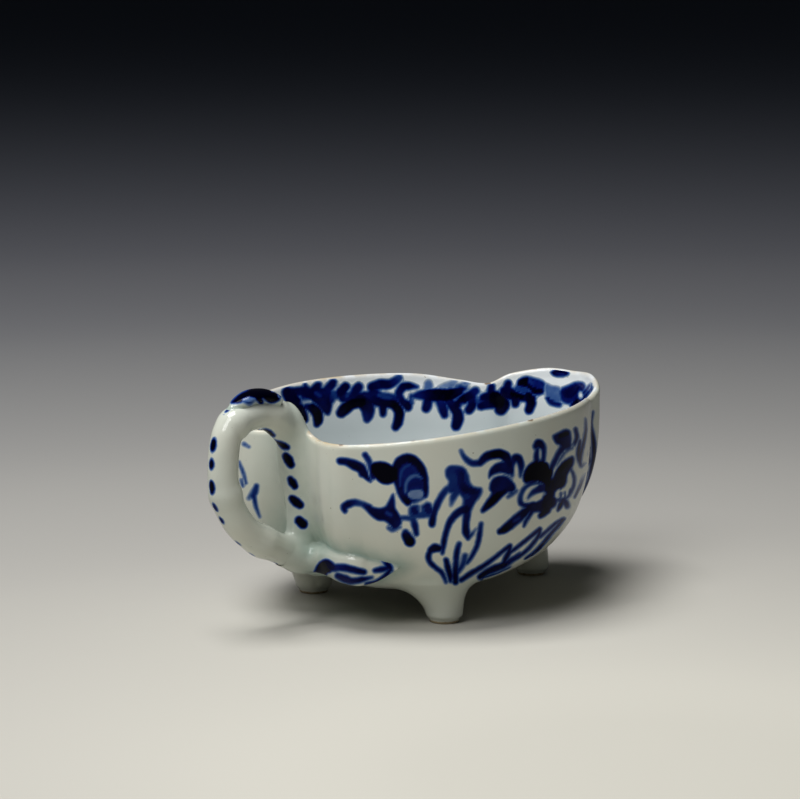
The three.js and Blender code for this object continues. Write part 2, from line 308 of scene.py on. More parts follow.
def wallRows(turns, shares, setOut, drop, bottom, taper=0.0):
    # one row of points for each share of the way up the wall, measured along the wall
    steps = np.linspace(0, 1, bowlWeave["columnSteps"] + 1) ** bowlWeave["columnPower"]
    column = wallPoint(turns[:, None], steps[None, :], setOut, drop, bottom)
    length = np.cumsum(np.linalg.norm(np.diff(column, axis=1), axis=2), axis=1)
    rises = np.empty((len(shares), len(turns)))
    for i in range(len(turns)):
        along = np.concatenate([[0], length[i]]) / length[i, -1]
        rises[:, i] = np.interp(shares, along, steps)
    nearRim = np.clip((shares - 1) / bowl["taperShare"] + 1, 0, 1)[:, None]
    return wallPoint(turns[None, :], rises, setOut + taper * nearRim ** 2, drop, bottom)


def rowShares(rows, paintedRows, paintedShare):
    plain = np.linspace(0, 1 - paintedShare, rows - paintedRows + 1)[1:]
    painted = np.linspace(1 - paintedShare, 1, paintedRows + 1)[1:]
    return np.concatenate([plain, painted])


def bowlRows(turns):
    w = bowlWeave
    outer = wallRows(
        turns, rowShares(w["outerRows"], w["outerPaintedRows"], w["outerPaintedShare"]),
        bowl["rimSetOut"], rimDrop, bowl["undersideHeight"])
    angles = np.linspace(0, math.pi, w["rimRows"] + 2)[1:-1, None]
    rimThickness = bowl["wallThickness"] - bowl["rimTaper"]
    rim = wallPoint(
        turns[None, :], 1.0, bowl["rimSetOut"] - rimThickness / 2 * (1 - np.cos(angles)),
        rimDrop * (1 - np.sin(angles)), bowl["undersideHeight"])
    inner = wallRows(
        turns, rowShares(w["innerRows"], w["innerPaintedRows"], w["innerPaintedShare"]),
        innerSetOut, rimDrop, floorHeight, bowl["rimTaper"])[::-1]
    return outer, rim, inner


def ringFaces(rowCount, ringCount):
    # quads between rows, and a fan at each end to a point before and a point after the rows
    i = np.arange(ringCount)
    onward = (i + 1) % ringCount
    faces = [np.stack([np.zeros_like(i), 1 + onward, 1 + i], 1).tolist()]
    for row in range(rowCount - 1):
        here = 1 + row * ringCount
        above = here + ringCount
        faces.append(np.stack([here + i, here + onward, above + onward, above + i], 1).tolist())
    last = 1 + rowCount * ringCount
    top = last - ringCount
    faces.append(np.stack([top + i, top + onward, np.full_like(i, last)], 1).tolist())
    return [face for block in faces for face in block]


def skinNormals(points, faces):
    # a normal for each point, from the faces round it
    normals = np.zeros_like(points)
    corners = {}
    for face in faces:
        corners.setdefault(len(face), []).append(face)
    for count, group in corners.items():
        group = np.array(group)
        a = points[group[:, 0]]
        cross = np.cross(points[group[:, 2]] - a, points[group[:, count - 1]] - points[group[:, 1]])
        if count == 3:
            cross = np.cross(points[group[:, 1]] - a, points[group[:, 2]] - a)
        for corner in range(count):
            np.add.at(normals, group[:, corner], cross)
    return unit(normals)


turns = evenTurns()
outerRows, rimRows, innerRows = bowlRows(turns)
allRows = np.concatenate([outerRows, rimRows, innerRows])
undersidePoint = np.array([bowl["middleX"] + shiftX, 0, bowl["undersideHeight"]])
floorPoint = np.array([bowl["middleX"] + shiftX, 0, floorHeight])
bowlPoints = np.vstack([undersidePoint, allRows.reshape(-1, 3), floorPoint])
bowlFaces = ringFaces(len(allRows), len(turns))
bowlNormals = skinNormals(bowlPoints, bowlFaces)
print("bowl shaped:", len(bowlPoints), "points")

wallTree = BVHTree.FromPolygons(bowlPoints.tolist(), bowlFaces)
# the cavity is the room inside the bowl, carried up past the rim and closed well above it
cavityRises = (bowl["wallThickness"], 20.0)
cavityTop = 60.0
cavityRows = np.concatenate([innerRows[::-1]] + [innerRows[:1] + (0, 0, rise) for rise in cavityRises])
cavityPoints = np.vstack([floorPoint, cavityRows.reshape(-1, 3), floorPoint + (0, 0, cavityTop)])
cavityTree = BVHTree.FromPolygons(cavityPoints.tolist(), ringFaces(len(cavityRows), len(turns)))


def treeDistance(tree, points):
    # signed distance to a closed skin, negative inside
    found = np.empty(len(points))
    for i, point in enumerate(points.tolist()):
        place, normal, face, distance = tree.find_nearest(point)
        side = sum((p - q) * n for p, q, n in zip(point, place, normal))
        found[i] = distance if side > 0 else -distance
    return found


def softMin(a, b, width):
    # the smaller of two distances, with a fillet of that width where they meet
    near = np.maximum(width - np.abs(a - b), 0) / width
    return np.minimum(a, b) - near ** 3 * width / 6


# Pieces luted onto the bowl are shaped as distances, blended onto what carries them and
# skinned. Each has its own cell size and fillet width. A fillet's thin edge sinks into its carrier,
# the fillet reaches so many widths, and below the rim the clay stays clear of the cavity.
luting = {
    "sink": 0.06,
    "reach": 1.1,
    "depth": 1.3,
    "clayOverRim": 0.05,
    "clayBelowRim": -0.35,
    "clayHeights": (36.5, 38.0),
    "relaxRounds": 6,
    "relaxShare": 0.5,
    "leastSteepness": 0.2,
    "leastStretch": 1e-6,
}


def sweepDistance(points, centres, radii):
    nearest = np.full(len(points), farAway)
    for i in range(len(centres) - 1):
        share, away = alongSegment(points, centres[i], centres[i + 1])
        gap = np.linalg.norm(away, axis=1)
        nearest = np.minimum(nearest, gap - between(radii[i], radii[i + 1], share))
    return nearest


def flatSweepDistance(points, centres, sides, halfWidths, halfDepths):
    # a sweep of oval section: its width lies along sides, its depth square to them
    least = luting["leastStretch"]
    nearest = np.full(len(points), farAway)
    closest = np.full(len(points), farAway)
    for i in range(len(centres) - 1):
        along = centres[i + 1] - centres[i]
        share, away = alongSegment(points, centres[i], centres[i + 1])
        gap = np.linalg.norm(away, axis=1)
        side = sides[i] - along * (sides[i] @ along) / (along @ along)
        side = side / np.linalg.norm(side)
        width = between(halfWidths[i], halfWidths[i + 1], share)
        depth = between(halfDepths[i], halfDepths[i + 1], share)
        across = away @ side
        rest = np.sqrt(np.maximum(gap ** 2 - across ** 2, 0))
        stretch = np.sqrt((across / width) ** 2 + (rest / depth) ** 2)
        distance = np.where(stretch > least, gap * (1 - 1 / np.maximum(stretch, least)), -depth)
        nearest = np.where(gap < closest, distance, nearest)
        closest = np.minimum(closest, gap)
    return nearest


def skinOf(field, low, cell):
    # the skin where a grid of distances changes sign: one point for each crossed cell
    shape = np.array(field.shape)
    sums = np.zeros((*(shape - 1), 3))
    counts = np.zeros(shape - 1)
    grid = np.stack(np.meshgrid(*[np.arange(n) for n in shape], indexing="ij"), -1).astype(float)
    crossings = []
    for axis in range(3):
        start = [slice(None)] * 3
        end = [slice(None)] * 3
        start[axis] = slice(0, -1)
        end[axis] = slice(1, None)
        first, second = field[tuple(start)], field[tuple(end)]
        crossed = (first < 0) != (second < 0)
        share = np.where(crossed, first / np.where(crossed, first - second, 1), 0)
        place = grid[tuple(start)].copy()
        place[..., axis] += share
        place *= crossed[..., None]
        b, c = (axis + 1) % 3, (axis + 2) % 3
        for stepB, stepC in np.ndindex(2, 2):
            take = [slice(None)] * 3
            take[b] = slice(stepB, shape[b] - 1 + stepB)
            take[c] = slice(stepC, shape[c] - 1 + stepC)
            sums += place[tuple(take)]
            counts += crossed[tuple(take)]
        crossings.append((axis, b, c, crossed, first < 0))
    used = counts > 0
    index = np.full(shape - 1, -1)
    index[used] = np.arange(used.sum())
    points = low + sums[used] / counts[used][:, None] * cell
    faces = []
    for axis, b, c, crossed, rising in crossings:
        at = np.argwhere(crossed)
        at = at[(at[:, b] > 0) & (at[:, c] > 0) & (at[:, b] < shape[b] - 1) & (at[:, c] < shape[c] - 1)]
        corners = []
        for stepB, stepC in ((-1, -1), (0, -1), (0, 0), (-1, 0)):
            place = at.copy()
            place[:, b] += stepB
            place[:, c] += stepC
            corners.append(index[tuple(place.T)])
        quads = np.stack(corners, 1)
        turned = ~rising[tuple(at.T)]
        quads[turned] = quads[turned][:, ::-1]
        faces.append(quads)
    return points, np.vstack(faces)


def readGrid(values, low, cell, points):
    # values of a grid between its points
    place = (points - low) / cell
    limit = np.array(values.shape[:3]) - 2
    base = np.clip(np.floor(place).astype(int), 0, limit)
    share = place - base
    total = 0
    for corner in np.ndindex(2, 2, 2):
        weight = np.prod(np.where(corner, share, 1 - share), axis=1)
        found = values[tuple((base + corner).T)]
        total = total + (found * weight[:, None] if found.ndim > 1 else found * weight)
    return total


def relax(points, faces, field, low, cell):
    # evens out the net of points, and draws each back onto the skin
    slopes = np.stack(np.gradient(field, cell), -1)
    pairs = np.vstack([faces[:, [i, (i + 1) % 4]] for i in range(4)])
    for _ in range(luting["relaxRounds"]):
        sums = np.zeros_like(points)
        counts = np.zeros(len(points))
        np.add.at(sums, pairs[:, 0], points[pairs[:, 1]])
        np.add.at(counts, pairs[:, 0], 1)
        points = between(points, sums / np.maximum(counts, 1)[:, None], luting["relaxShare"])
        slope = readGrid(slopes, low, cell, points)
        off = readGrid(field, low, cell, points)
        steep = np.maximum(np.sum(slope ** 2, 1), luting["leastSteepness"])
        points = points - slope * np.clip(off / steep, -cell / 2, cell / 2)[:, None]
    return points, unit(readGrid(slopes, low, cell, points))


def lutePiece(ownDistance, carrierDistance, box, cell, filletAt, widest):
    low, high = np.array(box[0], float), np.array(box[1], float)
    counts = np.ceil((high - low) / cell).astype(int) + 1
    grid = np.stack(np.meshgrid(*[
        low[i] + cell * np.arange(counts[i]) for i in range(3)
    ], indexing="ij"), -1).reshape(-1, 3)
    own = ownDistance(grid)
    field = own.copy()
    reach = luting["reach"] * widest
    near = own < reach + cell * 2
    points = grid[near]
    carrier = carrierDistance(points)
    blended = softMin(own[near], carrier + luting["sink"], filletAt(points))
    blended = np.maximum(blended, own[near] - reach)
    cavity = np.full(len(points), farAway)
    close = (carrier < bowl["wallThickness"]) | (blended < 2 * cell)
    cavity[close] = treeDistance(cavityTree, points[close])
    over = rampUp(points[:, 2], *luting["clayHeights"])
    blended = np.maximum(blended, -cavity - between(luting["clayBelowRim"], luting["clayOverRim"], over))
    field[near] = np.maximum(blended, -carrier - luting["depth"])
    field = field.reshape(counts)
    points, faces = skinOf(field, low, cell)
    points, normals = relax(points, faces, field, low, cell)
    return points, faces, normals


def wallDistance(points):
    return treeDistance(wallTree, points)


# Handle: a stalk that leaves the neck, turns down and comes back under the lobes, and the
# stem that lies in the cleft
handle = {
    "thickness": 5.9,
    "reach": 40.4,
    "topHeight": 42.4,
    "rootHeight": 11.0,
    "neckDrop": 6.0,
    "knots": (0.26, 0.52, 0.74, 0.86),
    "knotSwell": 0.35,
    "knotSpread": 0.025,
    "stemWidth": 4.7,
    "stemSetIn": 3.0,
    "stemSwell": 0.16,
    "fillet": 3.4,
    "neckFillet": 2.6,
    "neckFilletHeights": (30.0, 38.0),
    "stemFillet": 3.2,
    "cell": 0.34,
    "box": ((-52.5, -7.5, 6), (-17, 7.5, 49)),
    "steps": 150,
    "stemSteps": 40,
}
# Pairs of shares. Neck and stalk: the place from the outermost reach to the cleft, with the drop
# below the neck or the height from root to top. Stem: the place set in, with the height up to the neck.
neckShares = ((1.22, 1), (0.927, 0.5))
stalkShares = (
    (0.604, 1), (0.317, 0.987), (0.116, 0.936), (0.03, 0.841), (0, 0.691), (0.018, 0.567),
    (0.104, 0.449), (0.256, 0.334), (0.482, 0.239), (0.8, 0.159), (1.134, 0.08), (1.439, 0.025),
    (1.683, 0),
)
stemShares = ((-1.2, 0.95), (-0.5, 0.865), (0.35, 0.75), (0.8, 0.53), (1, 0.35), (1, 0.09))


def handlePath():
    h = handle
    places = [
        (between(-h["reach"], bowl["cleftX"], along), bowl["neckHeight"] - h["neckDrop"] * drop)
        for along, drop in neckShares
    ] + [
        (between(-h["reach"], bowl["cleftX"], along), between(h["rootHeight"], h["topHeight"], up))
        for along, up in stalkShares
    ]
    knots = np.array([(x + shiftX, 0, z) for x, z in places])
    at = np.linspace(0, 1, h["steps"])
    swell = sum(h["knotSwell"] * np.exp(-((at - knot) / h["knotSpread"]) ** 2) for knot in h["knots"])
    return openCurve(knots, at), h["thickness"] / 2 + swell


def stemPath():
    knots = np.array([
        (bowl["cleftX"] + handle["stemSetIn"] * share + shiftX, 0,
         between(handle["rootHeight"], bowl["neckHeight"], up))
        for share, up in stemShares
    ])
    at = np.linspace(0, 1, handle["stemSteps"])
    return openCurve(knots, at), handle["stemWidth"] / 2 * (1 + handle["stemSwell"] * (2 * at - 1) ** 2)


stalkCentres, stalkRadii = handlePath()
stemCentres, stemRadii = stemPath()


def handleDistance(points):
    stalk = sweepDistance(points, stalkCentres, stalkRadii)
    stem = sweepDistance(points, stemCentres, stemRadii)
    return softMin(stalk, stem, handle["stemFillet"])


def handleFillet(points):
    # wide along the cleft, narrower at the neck
    share = rampUp(points[:, 2], *handle["neckFilletHeights"])
    return between(handle["fillet"], handle["neckFillet"], share)


def evenFillet(width):
    return lambda points: np.full(len(points), width)


handleSkin = lutePiece(
    handleDistance, wallDistance, handle["box"], handle["cell"], handleFillet, handle["fillet"])
print("handle shaped:", len(handleSkin[0]), "points")


# What the leaf and the scroll are luted on: the wall and the handle with its fillet
def bodyDistance(points):
    return softMin(handleDistance(points), wallDistance(points), handleFillet(points))


# Thumb scroll: a bud laid on the handle's top
scroll = {
    "length": 10.2,
    "width": 6.4,
    "thickness": 2.9,
    "setBack": 3.8,
    "places": ((1, -0.42), (0.84, -0.13), (0.56, 0.17), (0.26, 0.14), (0.06, -0.14), (-0.05, -0.34)),
    "bodyFrom": 0.06,
    "bodyRun": 0.62,
    "bodyPower": 0.8,
    "endFrom": 0.86,
    "endRun": 0.14,
    "leastShare": 0.12,
    "leastDepth": 0.35,
    "fillet": 0.9,
    "cell": 0.22,
    "box": ((-49, -4.6, 39), (-32.5, 4.6, 49)),
    "steps": 40,
}


def scrollPath():
    # a bud, thickest before its middle, with a round end
    s = scroll
    top = handle["topHeight"] + handle["thickness"] / 2
    knots = np.array([
        (bowl["cleftX"] - s["setBack"] - s["length"] * back + shiftX, 0, top + s["thickness"] * up)
        for back, up in s["places"]
    ])
    at = np.linspace(0, 1, s["steps"])
    body = np.sin(math.pi * np.minimum(1, s["bodyFrom"] + s["bodyRun"] * at)) ** s["bodyPower"]
    end = np.sqrt(np.maximum(0, 1 - np.maximum(0, (at - s["endFrom"]) / s["endRun"]) ** 2))
    share = np.maximum(s["leastShare"], body * end)
    sides = np.tile((0.0, 1.0, 0.0), (s["steps"], 1))
    depth = s["thickness"] / 2 * between(s["leastDepth"], 1, share)
    return openCurve(knots, at), sides, s["width"] / 2 * share, depth


scrollSweep = scrollPath()


def scrollDistance(points):
    return flatSweepDistance(points, *scrollSweep)


scrollSkin = lutePiece(
    scrollDistance, bodyDistance, scroll["box"], scroll["cell"], evenFillet(scroll["fillet"]),
    scroll["fillet"])
print("thumb scroll shaped:", len(scrollSkin[0]), "points")


# Leaf terminal: a pointed leaf that leaves the handle's root and lies round the near lobe
leaf = {
    "width": 9.2,
    "thickness": 3.4,
    "lift": 0.3,
    "armPlaces": ((-24.6, 0.0, 14.4), (-20.6, -1.6, 13.3), (-18.6, -4.8, 12.8)),
    "places": ((0.13, 0.54), (0.165, 0.54), (0.188, 0.545), (0.2075, 0.57)),
    "proudShares": (0.82, 0.8, 0.72, 0.68, 0.65, 0.5, 0.12),
    "acrossShares": (0.3, 0.32, 0.4, 0.47, 0.48, 0.36, 0.05),
    "leastAcross": 0.3,
    "fillet": 1.0,
    "cell": 0.3,
    "box": ((-34, -37, 5), (1, 4, 26)),
    "steps": 60,
}


def onOuterWall(turns, rises):
    return wallPoint(turns, rises, bowl["rimSetOut"], rimDrop, bowl["undersideHeight"])


def outerWallNormal(turns, rises, step=0.004):
    alongRim = onOuterWall(turns + step, rises) - onOuterWall(turns - step, rises)
    upWall = onOuterWall(turns, rises + step) - onOuterWall(turns, rises - step)
    return unit(np.cross(alongRim, upWall))


def leafPath():
    # from inside the handle's root out over the near lobe's wall
    track = np.array(leaf["places"])
    outward = outerWallNormal(track[:, 0], track[:, 1])
    onWall = onOuterWall(track[:, 0], track[:, 1]) + outward * leaf["lift"]
    inArm = np.array(leaf["armPlaces"]) + (shiftX, 0, 0)
    at = np.linspace(0, 1, leaf["steps"])
    sides = unit(openCurve(np.vstack([np.tile(outward[0], (len(inArm), 1)), outward]), at))
    proud = leaf["thickness"] * openCurve(np.array(leaf["proudShares"])[:, None], at)[:, 0]
    across = leaf["width"] * openCurve(np.array(leaf["acrossShares"])[:, None], at)[:, 0]
    centres = openCurve(np.vstack([inArm, onWall]), at)
    return centres, sides, proud, np.maximum(across, leaf["leastAcross"])


leafSweep = leafPath()


def leafDistance(points):
    return flatSweepDistance(points, *leafSweep)


leafSkin = lutePiece(
    leafDistance, bodyDistance, leaf["box"], leaf["cell"], evenFillet(leaf["fillet"]), leaf["fillet"])
print("leaf shaped:", len(leafSkin[0]), "points")


# Feet: pegs, flat and unglazed below, that lean inwards and flare into the bowl
feet = {
    "bottomWidth": 5.8,
    "width": 7.3,
    "edge": 0.7,
    "pegHeight": 1.4,
    "belowFloor": 1.0,
    "bottomTaper": 0.3,
    "rearRoot": (8.8, 14.4),
    "frontRoot": (10.0, 9.6),
    "rootCap": 5.0,
    "rootRise": 6.0,
    "rearInFromSide": 15.0,
    "frontBackFromTip": 13.1,
    "inset": 2.6,
    "rearInsetShare": 0.7,
    "lean": 1.5,
    "flare": 1.5,
    "flareSteps": 12,
    "sideSlope": 0.8,
    "bottomRounding": 0.5,
    "bareHeights": (0.75, 0.25),
    "fillet": 4.4,
    "cell": 0.32,
}


def footDistance(points, place, inset, root):
    rootHeight, rootWidth = root
    peg = feet["width"] / 2
    bottom = feet["bottomWidth"] / 2
    rise = np.linspace(0, 1, feet["flareSteps"])[1:]
    heights = np.concatenate([
        [-feet["belowFloor"], 0, feet["edge"], feet["pegHeight"]],
        feet["pegHeight"] + (rootHeight - feet["pegHeight"]) * rise, [rootHeight + feet["rootRise"]],
    ])
    radii = np.concatenate([
        [bottom - feet["bottomTaper"], bottom, peg - feet["edge"], peg],
        peg + (rootWidth / 2 - peg) * rise ** feet["flare"], [rootWidth / 2],
    ])
    z = points[:, 2]
    share = rampUp(z, feet["pegHeight"], rootHeight) ** feet["lean"]
    away = np.hypot(
        points[:, 0] - place[0] - shiftX - inset[0] * share, points[:, 1] - place[1] - inset[1] * share)
    side = (away - np.interp(z, heights, radii)) * feet["sideSlope"]
    capped = np.maximum(-z, z - rootHeight - feet["rootCap"])
    return -softMin(-side, -capped, feet["bottomRounding"])


def rearFoot(sign):
    place = (0.0, sign * (bowl["width"] / 2 - feet["rearInFromSide"]))
    inset = feet["inset"] * feet["rearInsetShare"]
    return lambda points: footDistance(points, place, (-inset, -sign * inset), feet["rearRoot"])


def frontFoot():
    place = (bowl["lipTipX"] - feet["frontBackFromTip"], 0.0)
    return lambda points: footDistance(points, place, (-feet["inset"], 0.0), feet["frontRoot"])


footDistances = {"rear_foot_near": rearFoot(-1), "rear_foot_far": rearFoot(1), "front_foot": frontFoot()}
footBoxes = {
    "rear_foot_near": ((-23, -33, -0.6), (6, -4, 17)),
    "rear_foot_far": ((-23, 4, -0.6), (6, 33, 17)),
    "front_foot": ((26, -9, -0.6), (46, 9, 16)),
}
footSkins = {
    name: lutePiece(
        distance, wallDistance, footBoxes[name], feet["cell"], evenFillet(feet["fillet"]), feet["fillet"])
    for name, distance in footDistances.items()
}
for name, (points, faces, normals) in footSkins.items():
    points[:, 2] = np.maximum(points[:, 2], 0)
print("feet shaped")


